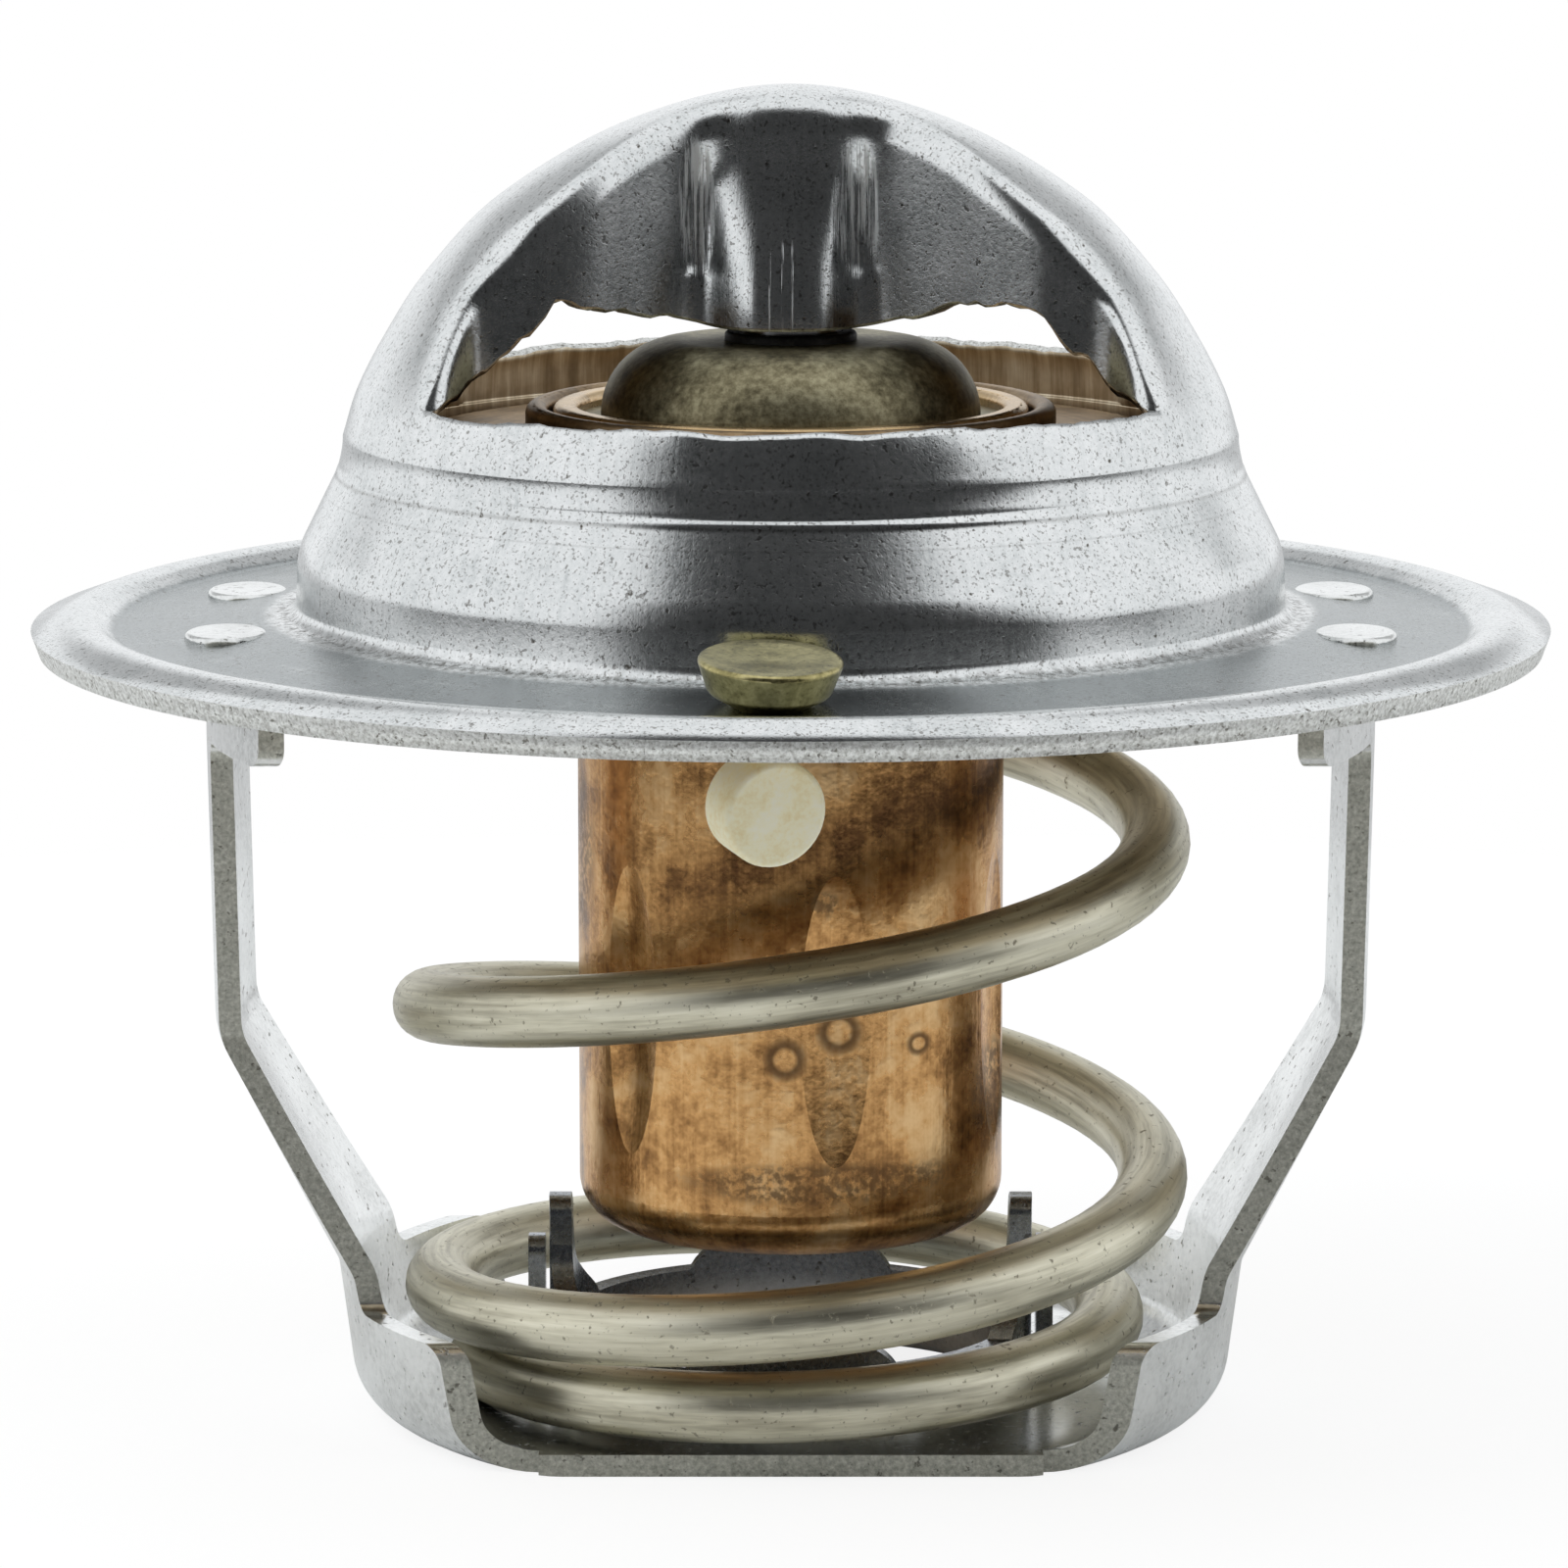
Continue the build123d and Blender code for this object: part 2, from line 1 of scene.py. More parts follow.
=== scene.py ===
# %% [markdown]
# # A thermostat for an engine's cooling circuit
#
# The real thing is a valve that moves by itself. A copper cup full of wax hangs
# from a steel piston. Hot coolant melts the wax, the wax swells, and the cup is
# pushed down the piston, taking the valve plate with it. When the wax cools, a
# spring pushes the plate shut again.
#
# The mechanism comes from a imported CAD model, so every size is already settled.
# This lesson dresses it: pieces whose form is softer than the CAD solid are
# modelled again in the same place, and each metal gets its own finish.

# %% Load the mechanism
import math

import bmesh
import bpy
from mathutils import Matrix, Vector, noise
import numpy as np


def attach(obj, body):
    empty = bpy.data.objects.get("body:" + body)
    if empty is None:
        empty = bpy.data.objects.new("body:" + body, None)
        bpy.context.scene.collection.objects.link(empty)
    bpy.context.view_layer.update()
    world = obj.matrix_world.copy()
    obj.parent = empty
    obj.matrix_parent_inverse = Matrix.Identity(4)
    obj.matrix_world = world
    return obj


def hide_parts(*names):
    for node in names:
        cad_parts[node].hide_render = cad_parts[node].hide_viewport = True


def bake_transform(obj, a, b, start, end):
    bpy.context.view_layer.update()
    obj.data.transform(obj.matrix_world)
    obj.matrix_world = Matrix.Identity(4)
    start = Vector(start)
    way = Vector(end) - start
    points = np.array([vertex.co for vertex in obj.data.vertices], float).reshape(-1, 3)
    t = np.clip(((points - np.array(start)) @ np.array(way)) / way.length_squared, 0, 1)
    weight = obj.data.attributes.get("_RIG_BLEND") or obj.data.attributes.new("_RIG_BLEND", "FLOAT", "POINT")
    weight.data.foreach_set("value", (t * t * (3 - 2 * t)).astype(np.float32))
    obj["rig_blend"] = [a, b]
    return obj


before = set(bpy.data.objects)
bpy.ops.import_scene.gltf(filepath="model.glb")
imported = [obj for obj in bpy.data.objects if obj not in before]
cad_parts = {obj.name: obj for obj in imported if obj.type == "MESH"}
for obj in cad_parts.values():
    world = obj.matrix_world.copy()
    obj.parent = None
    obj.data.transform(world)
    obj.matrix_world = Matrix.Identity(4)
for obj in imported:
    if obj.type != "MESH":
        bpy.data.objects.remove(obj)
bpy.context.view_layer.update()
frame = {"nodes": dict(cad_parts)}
MM = 0.001

# %% [markdown]
# ## Wires that turn into sheet metal
#
# The section of a pressed piece is a line with rounded corners. Its points
# could be worked out one by one, but a bevel on the vertices of a wire rounds
# its corners just as a press would, from nothing but the corners. Bevel asks
# how far from the corner to start, which is the bend radius times the tangent
# of half the turn.


# %% A wire with rounded corners
def bent_wire(corners, bends):
    """A bmesh with one wire through (radius, height) corners in mm, bent at the inner ones."""
    wire = bmesh.new()
    points = [wire.verts.new((radius * MM, 0, height * MM)) for radius, height in corners]
    for first, second in zip(points, points[1:]):
        wire.edges.new((first, second))
    for point, (bend, steps) in zip(points[1:-1], bends):
        arms = [edge.other_vert(point).co - point.co for edge in point.link_edges]
        turn = math.pi - arms[0].angle(arms[1])
        reach = bend * MM * math.tan(turn / 2)
        bmesh.ops.bevel(
            wire,
            geom=[point],
            offset=reach,
            offset_type="OFFSET",
            affect="VERTICES",
            segments=steps,
            profile=0.5,
            material=-1,
        )
    return wire


def spun(wire, steps):
    """The wire spun once round the object's axis, closed and facing outwards."""
    bmesh.ops.spin(
        wire,
        geom=wire.verts[:] + wire.edges[:],
        cent=(0, 0, 0),
        axis=(0, 0, 1),
        angle=math.tau,
        steps=steps,
        use_merge=True,
    )
    bmesh.ops.remove_doubles(wire, verts=wire.verts, dist=1e-7)
    bmesh.ops.recalc_face_normals(wire, faces=wire.faces)
    return wire


def as_piece(name, mesh, body, *nodes):
    """An object at the origin that rides on a body and stands for some CAD nodes."""
    data = bpy.data.meshes.new(name)
    mesh.to_mesh(data)
    mesh.free()
    data.shade_smooth()
    piece = bpy.data.objects.new(name, data)
    bpy.context.scene.collection.objects.link(piece)
    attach(piece, body)
    if nodes:
        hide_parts(*nodes)
    print(name, "has", len(data.polygons), "faces")
    return piece


# %% [markdown]
# ## The crown: one drawn pressing
#
# The crown starts as a dome on a wide flange. Two slits are cut across it, and
# the metal above each slit is pushed in until only a bridge is left between two
# windows. In the middle the bridge closes round the piston's tip.
#
# It could be cut out of a solid, but then its ridges would be sharp and the
# same everywhere. Here the dome is spun whole, slit, and then pushed in like
# the real one, so the sheet flows round each ridge.

# %% The dome's outline, and a smooth line through a few points
SHEET = 0.78
NECK_RADIUS = 15.9
NECK_TOP = 35.3
APEX = 47.65
SLIT_HEIGHT = 37.1
ROUND_STEPS = 288


def smooth_line(points, at):
    """Second number at a place of the smooth line through points that rise in their first."""
    count = len(points)
    index = 0
    while index < count - 2 and at > points[index + 1][0]:
        index += 1

    def slope(i):
        low, high = max(i - 1, 0), min(i + 1, count - 1)
        return (points[high][1] - points[low][1]) / (points[high][0] - points[low][0])

    (x0, y0), (x1, y1) = points[index], points[index + 1]
    span = x1 - x0
    t = (at - x0) / span
    start = y0 * (1 + 2 * t) + slope(index) * span * t
    end = y1 * (3 - 2 * t) - slope(index + 1) * span * (1 - t)
    return start * (1 - t) ** 2 + end * t * t


rise = APEX - NECK_TOP
# The first point mirrors the third, so that the dome is level at its top.
DOME = [
    Vector((-0.343 * NECK_RADIUS, NECK_TOP + 0.906 * rise)),
    Vector((0, APEX)),
    Vector((0.343 * NECK_RADIUS, NECK_TOP + 0.906 * rise)),
    Vector((0.650 * NECK_RADIUS, NECK_TOP + 0.683 * rise)),
    Vector((0.816 * NECK_RADIUS, NECK_TOP + 0.461 * rise)),
    Vector((0.903 * NECK_RADIUS, NECK_TOP + 0.291 * rise)),
    Vector((0.968 * NECK_RADIUS, NECK_TOP + 0.130 * rise)),
    Vector((NECK_RADIUS, NECK_TOP)),
]


def dome_place(share):
    """(radius, height) of the dome's outline at a share of its chord length."""
    chords = [-(DOME[1] - DOME[0]).length, 0.0]
    for first, second in zip(DOME[1:], DOME[2:]):
        chords.append(chords[-1] + (second - first).length)
    at = share * chords[-1]
    radius = smooth_line([(c, p.x) for c, p in zip(chords, DOME)], at)
    height = smooth_line([(c, p.y) for c, p in zip(chords, DOME)], at)
    return radius, height


print("the dome rises", round(rise, 2), "mm above the neck")

# %% [markdown]
# The dome's wire is laid point by point, closer together where the ridges will
# be. Below it the wire goes on as straight runs with bends: neck, bulge, flange,
# the raised bead, and the turned edge. One row of points lies at the height of
# the slits, because the sheet can only be split along edges.

# %% Spin the whole pressing
SKIRT = [
    (NECK_RADIUS, NECK_TOP),
    (NECK_RADIUS, 34.5),
    (17.55, 31.2),
    (17.62, 29.05),
    (22.8, 28.56),
    (24.0, 28.53),
    (25.1, 29.25),
    (27.0, 28.57),
]
# Each bend has a radius in mm and a number of steps.
SKIRT_BENDS = [(3.2, 20), (2.5, 8), (0.5, 7), (3.0, 3), (0.6, 4), (1.2, 6)]
DOME_ROWS = 72
ROWS_BELOW_SLIT = 8
SEARCH_STEP = 0.0005

crown = bent_wire(SKIRT, SKIRT_BENDS)
top = max(crown.verts, key=lambda point: point.co.z)
slit_share = 0.0
while dome_place(slit_share)[1] > SLIT_HEIGHT:
    slit_share += SEARCH_STEP
shares = [slit_share * row / DOME_ROWS for row in range(DOME_ROWS + 1)]
shares += [slit_share + (1 - slit_share) * row / ROWS_BELOW_SLIT for row in range(1, ROWS_BELOW_SLIT)]
line = [crown.verts.new((r * MM, 0, z * MM)) for r, z in map(dome_place, shares)] + [top]
for first, second in zip(line, line[1:]):
    crown.edges.new((first, second))
spun(crown, ROUND_STEPS)
SLIT_RADIUS, slit_z = dome_place(slit_share)
print("slit at radius", round(SLIT_RADIUS, 2), "and height", round(slit_z, 2))

# %% [markdown]
# ## Slitting and pushing in
#
# Each slit is a rip along one row of edges, and everything above it then moves.
# Seen from above, the bridge is narrow at its nose, where it grips the piston,
# and widens to the ends of the slits. It could be sculpted by eye, but a table
# is easier to check and to change. Two short ones say how wide the bridge is and
# how far down it hangs, and a smooth line runs through each.

# %% Plan and lower edge of the bridge
WINDOW_TURN = math.radians(56.25)
WINDOW_HALF = SLIT_RADIUS * math.sin(WINDOW_TURN)
WINDOW_DEPTH = SLIT_RADIUS * math.cos(WINDOW_TURN)
# Half width of the bridge at the ridge, against the distance along it.
PLAN = [
    (0, 2.63),
    (1.2, 2.54),
    (2.4, 2.36),
    (3.3, 2.45),
    (4.3, 2.98),
    (5.4, 3.8),
    (6.8, 4.9),
    (8.7, 5.85),
    (10.9, 6.35),
    (WINDOW_HALF, WINDOW_DEPTH),
]
# Height of the bridge's lower edge, against the distance along it.
SKIRT_EDGE = [
    (0, 39.25),
    (2.6, 39.3),
    (4.2, 39.7),
    (7.4, 40.4),
    (8.3, 40.2),
    (9.6, 39.0),
    (11.0, 37.9),
    (12.0, 37.0),
    (12.6, 36.45),
    (WINDOW_HALF, slit_z),
]
print("half of a window's length in mm:", round(WINDOW_HALF, 2))

# %% [markdown]
# A torn edge is never straight. It could be drawn tooth by tooth, but smooth
# noise does it in one line: read along the edge at a slow, a middling and a fast
# pace, it gives no two teeth alike, and the same teeth at each run.

# %% Torn edges
# Waves of the bridge's edge: pace and size. Waves of the windows' lips: pace, seed and size.
EDGE_WAVES = [(1.3, 0.4), (4.3, 0.12), (11.0, 0.1)]
LIP_WAVES = [(0.5, 7.0, 0.2), (3.0, 8.0, 0.09)]


def ripple(along, seed, size):
    """A small uneven wave, the same at every run."""
    return size * noise.noise(Vector((along, seed, 0.37 * seed)))


def tooth(along, seed):
    """How ragged the torn edge is: hardly at all at the nose, most near the ends."""
    share = min(max((abs(along) - 3.4) / 2.0, 0), 1) * min(max((12.4 - abs(along)) / 0.8, 0), 1)
    return share * sum(ripple(pace * along, seed, size) for pace, size in EDGE_WAVES)


print("raggedness in mm at 5, 7 and 9 mm:", [round(tooth(at, 4.0), 2) for at in (5, 7, 9)])

# %% [markdown]
# A crimping tool closed the sheet on both sides of the piston's tip. It left a
# nose that widens downwards, a crimp on each side, and the dents of its jaws.
# Each could be a push of its own, but added up in one function they share one
# limit, so the two walls never pass through each other.

# %% The crimping tool
# The nose is a little off the middle, and the bridge is never narrower than this to each side.
NOSE_X = -0.24
LEAST_HALF = 1.0
# What the tool left, in mm.
CRIMP_DEPTH, CRIMP_WIDTH = 0.3, 0.8
FLARE_DEPTH = 0.85
DENT_DEPTH, DENT_WIDTH = 0.13, 0.55


def eased(value, low, high):
    """0 at low, 1 at high, smooth between and level beyond."""
    share = min(max((value - low) / (high - low), 0.0), 1.0)
    return share * share * (3 - 2 * share)


def pressed(x, half, depth, height):
    """Half width of the bridge after the crimping tool, at a depth below the ridge, in mm."""
    left = x < NOSE_X
    off = abs(x - NOSE_X)
    low = 1 - eased(height, 39.6, 45.2)
    # The crimp runs a little outwards as it goes down.
    valley = (off - 2.75 - 0.5 * low) / CRIMP_WIDTH
    crimp = CRIMP_DEPTH * math.exp(-valley * valley) * eased(depth, 0.4, 3.0)
    flare = FLARE_DEPTH * low * (1 - eased(off, 0.8, 3.2 if left else 2.8))
    # The two jaws didn't close quite evenly.
    jaw = 2.9 if left else 2.5
    mark = (1 - eased(height, 43.0, 46.0)) * eased(height, 41.05, 41.45)
    dent = DENT_DEPTH * math.exp(-(((off - jaw) / DENT_WIDTH) ** 4)) * mark
    wanted, room = crimp + dent, half - LEAST_HALF
    if room <= 0:
        return half
    # The press stops before the two walls meet.
    return half + flare - wanted * room / (wanted**4 + room**4) ** 0.25


print("half width of the nose, low down, in mm:", round(pressed(NOSE_X, PLAN[0][1], 6.0, 40.0), 2))

# %% [markdown]
# At one place along the bridge, the sheet is followed from the crest outwards:
# up to the ridge it stays on the dome, round the ridge it bends, and beyond that
# it runs down the wall. Squeezing the points towards the middle would be shorter
# to write, but it would crowd them on the dome and stretch them on the wall.
# Here a point keeps its distance along the sheet, as it does in a press.

# %% Follow the sheet
DOME_STEPS = 600
DOME_TABLE = [dome_place(step / DOME_STEPS) for step in range(DOME_STEPS + 1)]


def dome_at(radius):
    """Height of the dome's outer side at a radius, read from a table."""
    low, high = 0, len(DOME_TABLE) - 1
    if radius >= DOME_TABLE[high][0]:
        return DOME_TABLE[high][1]
    while high - low > 1:
        middle = (low + high) // 2
        if DOME_TABLE[middle][0] <= radius:
            low = middle
        else:
            high = middle
    (r0, z0), (r1, z1) = DOME_TABLE[low], DOME_TABLE[high]
    return z0 + (z1 - z0) * (radius - r0) / (r1 - r0)


def follow(lengths, places, width):
    """Distance along the section at which it is this wide."""
    steps = len(places) - 1
    at = min(width / places[-1].x, 1.0) * steps
    index = min(int(at), steps - 1)
    return lengths[index] + (lengths[index + 1] - lengths[index]) * (at - index)


def place_at(lengths, places, distance):
    """Width and height of the section at a distance from the crest."""
    index = 0
    while index < len(places) - 2 and lengths[index + 1] < distance:
        index += 1
    share = (distance - lengths[index]) / (lengths[index + 1] - lengths[index])
    return places[index].lerp(places[index + 1], share)


print("height of the dome at 5, 10 and 15 mm:", [round(dome_at(at), 2) for at in (5, 10, 15)])

# %% Where the press takes a point
# How far the bend reaches to both sides of the ridge, and further up near the slits' ends.
RIDGE_REACH, END_REACH = 1.25, 1.6
# It never takes more than these shares of the way to the crest and of the wall.
MOST_ABOVE, MOST_BELOW = 0.8, 0.48
# How much of its old place a point keeps at the slits' ends.
END_KEPT = 0.7
SECTION_STEPS = 28


def pushed(point):
    """Where the press takes a point of the dome above the slits, in mm."""
    along = abs(point.x)
    if along >= WINDOW_HALF - 1e-6 or abs(point.y) < 1e-9:
        return point
    side = math.copysign(1, point.y)
    ridge = smooth_line(PLAN, along)
    skirt = smooth_line(SKIRT_EDGE, along) + tooth(point.x, 3.0 + side)
    slit_y = math.sqrt(SLIT_RADIUS**2 - along**2)
    # The sheet's section at this place: distance from the crest, against width and height.
    lengths, places = [0.0], [Vector((0, dome_at(along)))]
    for step in range(1, SECTION_STEPS + 1):
        y = slit_y * step / SECTION_STEPS
        places.append(Vector((y, dome_at(math.hypot(along, y)))))
        lengths.append(lengths[-1] + (places[-1] - places[-2]).length)
    mine = follow(lengths, places, abs(point.y))
    crest = follow(lengths, places, ridge)
    corner = Vector((ridge, dome_at(math.hypot(along, ridge))))
    wall = max(corner.y - skirt, 0.0)
    above = min(RIDGE_REACH + END_REACH * eased(along, 9.0, 12.0), MOST_ABOVE * ridge)
    below = min(RIDGE_REACH, MOST_BELOW * wall)
    if mine <= crest - above:
        return point
    gone = mine
    if mine > crest:
        gone = crest + (mine - crest) * wall / max(lengths[-1] - crest, 1e-6)
    foot = Vector((ridge, corner.y - below))
    if gone >= crest + below:
        place = Vector((ridge, corner.y - (gone - crest)))
    else:
        start = place_at(lengths, places, crest - above)
        t = (gone - crest + above) / (above + below)
        place = start * (1 - t) ** 2 + corner * (2 * t * (1 - t)) + foot * t * t
    width = pressed(point.x, place.x, corner.y - place.y, place.y)
    # Near the ends of the slit the sheet is hardly pressed in.
    kept = END_KEPT * eased(along, 10.8, 13.1)
    return Vector((point.x, side * width, place.y)).lerp(point, kept)


middle = Vector((0, SLIT_RADIUS, slit_z))
print("the middle of a slit:", [round(place, 1) for place in middle])
print("pushed in, it comes to:", [round(place, 1) for place in pushed(middle)])

# %% [markdown]
# A drawing die leaves fine lines round the neck, clear in the middle and faint
# towards the legs. They are less than a tenth of a millimetre deep. A bump in
# the finish could draw them, but a real groove also catches the light and shows
# in a copy of the mesh without its finish.

# %% Die lines
# Height, depth and width in mm.
DIE_LINES = [(34.28, 0.04, 0.09), (34.08, -0.05, 0.1), (33.3, 0.02, 0.05)]
for point in crown.verts:
    x, y, z = point.co / MM
    clear = 1 - 0.75 * eased(abs(x), 7.0, 14.0)
    for height, depth, width in DIE_LINES:
        cut = depth * math.exp(-(((z - height) / width) ** 2)) * clear
        inward = 1 - cut / max(math.hypot(x, y), 1.0)
        point.co.x *= inward
        point.co.y *= inward
print("die lines:", len(DIE_LINES))

# %% Rip the slits and push the metal in
LIP_REACH = 1.6
slit = [
    edge
    for edge in crown.edges
    if all(
        abs(end.co.z / MM - slit_z) < 1e-3 and abs(end.co.x / MM) < WINDOW_HALF + 1e-3
        for end in edge.verts
    )
]
bmesh.ops.split_edges(crown, edges=slit)
above = {
    point
    for face in crown.faces
    if face.calc_center_median().z / MM > slit_z
    for point in face.verts
}
for point in above:
    point.co = pushed(point.co / MM) * MM
for point in crown.verts:
    x, below = point.co.x / MM, slit_z - point.co.z / MM
    if point not in above and abs(x) < WINDOW_HALF - 0.4 and below < LIP_REACH:
        wave = sum(ripple(pace * x, seed, size) for pace, seed, size in LIP_WAVES)
        point.co.z += wave * (1 - below / LIP_REACH) * MM
print("ripped", len(slit), "edges and moved", len(above), "points")

# %% [markdown]
# The skin becomes sheet metal with a Solidify modifier, which grows it inwards
# only, so the outside keeps its size. A second skin could be spun and pushed in
# as well, but then the two would have to be sewn together along every torn edge.
# A vertex group thins the sheet in the crimps, where the two walls nearly meet,
# and at the torn lips of the windows.

# %% Give the crown its thickness
crown_piece = as_piece("crown_pressing", crown, "housing", "crown_flange")
sheet = crown_piece.modifiers.new("sheet", "SOLIDIFY")
sheet.thickness = SHEET * MM
sheet.offset = -1
sheet.material_offset = 1
sheet.material_offset_rim = 2
gauge = crown_piece.vertex_groups.new(name="gauge")
sheet.vertex_group = gauge.name
THIN_CRIMP, THIN_LIP = 0.72, 0.55
for point in crown_piece.data.vertices:
    x, _, z = point.co / MM
    off = abs(x - NOSE_X)
    tight = eased(off, 1.2, 1.9) * (1 - eased(off, 4.2, 5.2)) * eased(z, 38.0, 38.6)
    lip = eased(abs(z - slit_z), 2.2, 0.0) if abs(x) < WINDOW_HALF else 0
    gauge.add([point.index], 1 - max(THIN_CRIMP * tight, THIN_LIP * lip), "REPLACE")
print("sheet in mm:", SHEET, "and down to", round(SHEET * (1 - THIN_CRIMP), 2), "in the crimps")

# %% [markdown]
# ## The return spring
#
# The spring is a round wire that widens from a narrow closed turn, opens up,
# and closes again under the valve plate. A curve with a round bevel would draw
# it in one step. But the rings themselves are needed here: when the valve opens,
# each ring moves as a whole, so the wire stays round while the coil gets
# shorter. So a circle is extruded along the coil, ring by ring.

# %% Where the wire runs
WIRE = 2.5
COIL_RADIUS, END_RADIUS = 13.08, 11.35
OPEN_PITCH, CLOSED_PITCH = 12.2, 2.44
CLOSED_TURNS, OPENING = 0.8, 0.75
SPRING_TOP = 34.47
COIL_LOW, COIL_HIGH = SHEET + WIRE / 2, SPRING_TOP - WIRE / 2
# The coil widens from this turn on, over so many turns, and narrows again at its other end.
WIDEN_FROM, WIDEN_OVER = 0.25, 1.05
START_ANGLE = -440
END_RISE = 2 * (CLOSED_TURNS + OPENING) * CLOSED_PITCH + (OPEN_PITCH - CLOSED_PITCH) * OPENING
TURNS = 2 * (CLOSED_TURNS + OPENING) + (COIL_HIGH - COIL_LOW - END_RISE) / OPEN_PITCH


def opened(turns):
    """How much open pitch has built up some turns after the coil starts to open."""
    share = min(max(turns / OPENING, 0.0), 1.0)
    return OPENING * (share / 2 - math.sin(math.pi * share) / math.tau) + max(turns - OPENING, 0.0)


def coil(turns):
    """Middle of the wire after some turns from its lower end, in mm."""
    extra = opened(turns - CLOSED_TURNS) - opened(turns - (TURNS - CLOSED_TURNS - OPENING))
    height = COIL_LOW + CLOSED_PITCH * turns + (OPEN_PITCH - CLOSED_PITCH) * extra
    share = min(max((min(turns, TURNS - turns) - WIDEN_FROM) / WIDEN_OVER, 0.0), 1.0)
    radius = END_RADIUS + (COIL_RADIUS - END_RADIUS) * share * share * (3 - 2 * share)
    angle = math.radians(START_ANGLE + 360 * turns)
    return Vector((radius * math.sin(angle), -radius * math.cos(angle), height))


print("the wire makes", round(TURNS, 2), "turns")

# %% Draw the wire along the coil
RING_SIDES, RINGS_PER_TURN = 28, 72
wire_mesh = bmesh.new()
along_layer = wire_mesh.verts.layers.float.new("along")
side_layer = wire_mesh.verts.layers.int.new("side")


def ring_matrix(turns, size):
    """Place, turn and size of one cross-section of the wire."""
    ahead = (coil(turns + 0.001) - coil(turns - 0.001)).normalized()
    out = Vector((coil(turns).x, coil(turns).y, 0)).normalized()
    up = ahead.cross(out).normalized()
    out = up.cross(ahead).normalized()
    turn = Matrix((out, up, ahead)).transposed().to_4x4()
    return Matrix.Translation(coil(turns) * MM) @ turn @ Matrix.Scale(size, 4)


made = bmesh.ops.create_circle(wire_mesh, cap_ends=True, radius=WIRE / 2 * MM, segments=RING_SIDES)
face = made["verts"][0].link_faces[0]
outline = [point.co.copy() for point in face.verts]
ring_count = round(TURNS * RINGS_PER_TURN)
# Both ends of the wire are cut square with a small chamfer: turns from the end, and size.
chamfer = [(0.0, 0.88), (0.0012, 0.96), (0.0035, 1.0)]
places = chamfer + [(TURNS * step / ring_count, 1.0) for step in range(1, ring_count)]
places += [(TURNS - turns, size) for turns, size in reversed(chamfer)]
for number, (turns, size) in enumerate(places):
    if number > 0:
        face = bmesh.ops.extrude_discrete_faces(wire_mesh, faces=[face])["faces"][0]
    place = ring_matrix(turns, size)
    for side, (point, rest) in enumerate(zip(face.verts, outline)):
        point.co = place @ rest
        point[along_layer] = turns / TURNS
        point[side_layer] = side
bmesh.ops.holes_fill(wire_mesh, edges=[edge for edge in wire_mesh.edges if edge.is_boundary])
bmesh.ops.recalc_face_normals(wire_mesh, faces=wire_mesh.faces)
print("rings:", len(places))

# %% [markdown]
# The grain of drawn wire runs along it, so the wire needs a map that follows
# it: once round the wire across, and the whole coil along. Blender could unwrap
# it, but every point already knows its ring and its side, so the map is exact
# when it is read from those.

# %% Unroll the wire's surface and let it follow the valve
unrolled = wire_mesh.loops.layers.uv.new("unrolled")
for face in wire_mesh.faces:
    sides = [loop.vert[side_layer] for loop in face.loops]
    wraps = max(sides) - min(sides) > RING_SIDES / 2
    for loop, side in zip(face.loops, sides):
        if wraps and side < RING_SIDES / 2:
            side += RING_SIDES
        loop[unrolled].uv = (side / RING_SIDES, loop.vert[along_layer])

spring_data = bpy.data.meshes.new("spring_wire")
wire_mesh.to_mesh(spring_data)
wire_mesh.free()
spring_data.shade_smooth()
spring = bpy.data.objects.new("spring_wire", spring_data)
bpy.context.scene.collection.objects.link(spring)
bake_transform(spring, "housing", "valve", start=(0, 0, COIL_LOW * MM), end=(0, 0, COIL_HIGH * MM))
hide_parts("return_spring")
# Every ring moves as a whole. Half a turn at each end stays put, and the rest share the travel.
end_share = 0.5 / TURNS
follows = spring_data.attributes["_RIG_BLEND"].data
for point, share in zip(follows, spring_data.attributes["along"].data):
    point.value = min(max((share.value - end_share) / (1 - 2 * end_share), 0.0), 1.0)
print("spring faces:", len(spring_data.polygons))

# %% [markdown]
# ## Camera, floor and light
#
# The camera stands a little above the object and far away, with a long lens. A
# short lens close by would fill the picture as well, but it would make the
# flange look too large for the base.

# %% Camera
CAMERA_PLACE = (-0.24, -260, 66.67)
CAMERA_TILT = 9.616
camera_data = bpy.data.cameras.new("camera")
camera_data.sensor_width = 36
camera_data.lens = 168.93
camera = bpy.data.objects.new("camera", camera_data)
bpy.context.scene.collection.objects.link(camera)
camera.location = [side * MM for side in CAMERA_PLACE]
camera.rotation_euler = (math.radians(90 - CAMERA_TILT), 0, 0)
camera_data.clip_start = 0.01
bpy.context.scene.camera = camera
print("camera lens:", round(camera_data.lens, 2), "mm, looking down by", CAMERA_TILT, "degrees")

# %% [markdown]
# A finish, and a room of light too, is mostly arithmetic on masks. Every node
# could be placed and linked by hand, in four lines or so. With one small class
# for a socket, the arithmetic can be written as sums and products, and Blender
# still gets plain nodes. A second class holds the node tree.

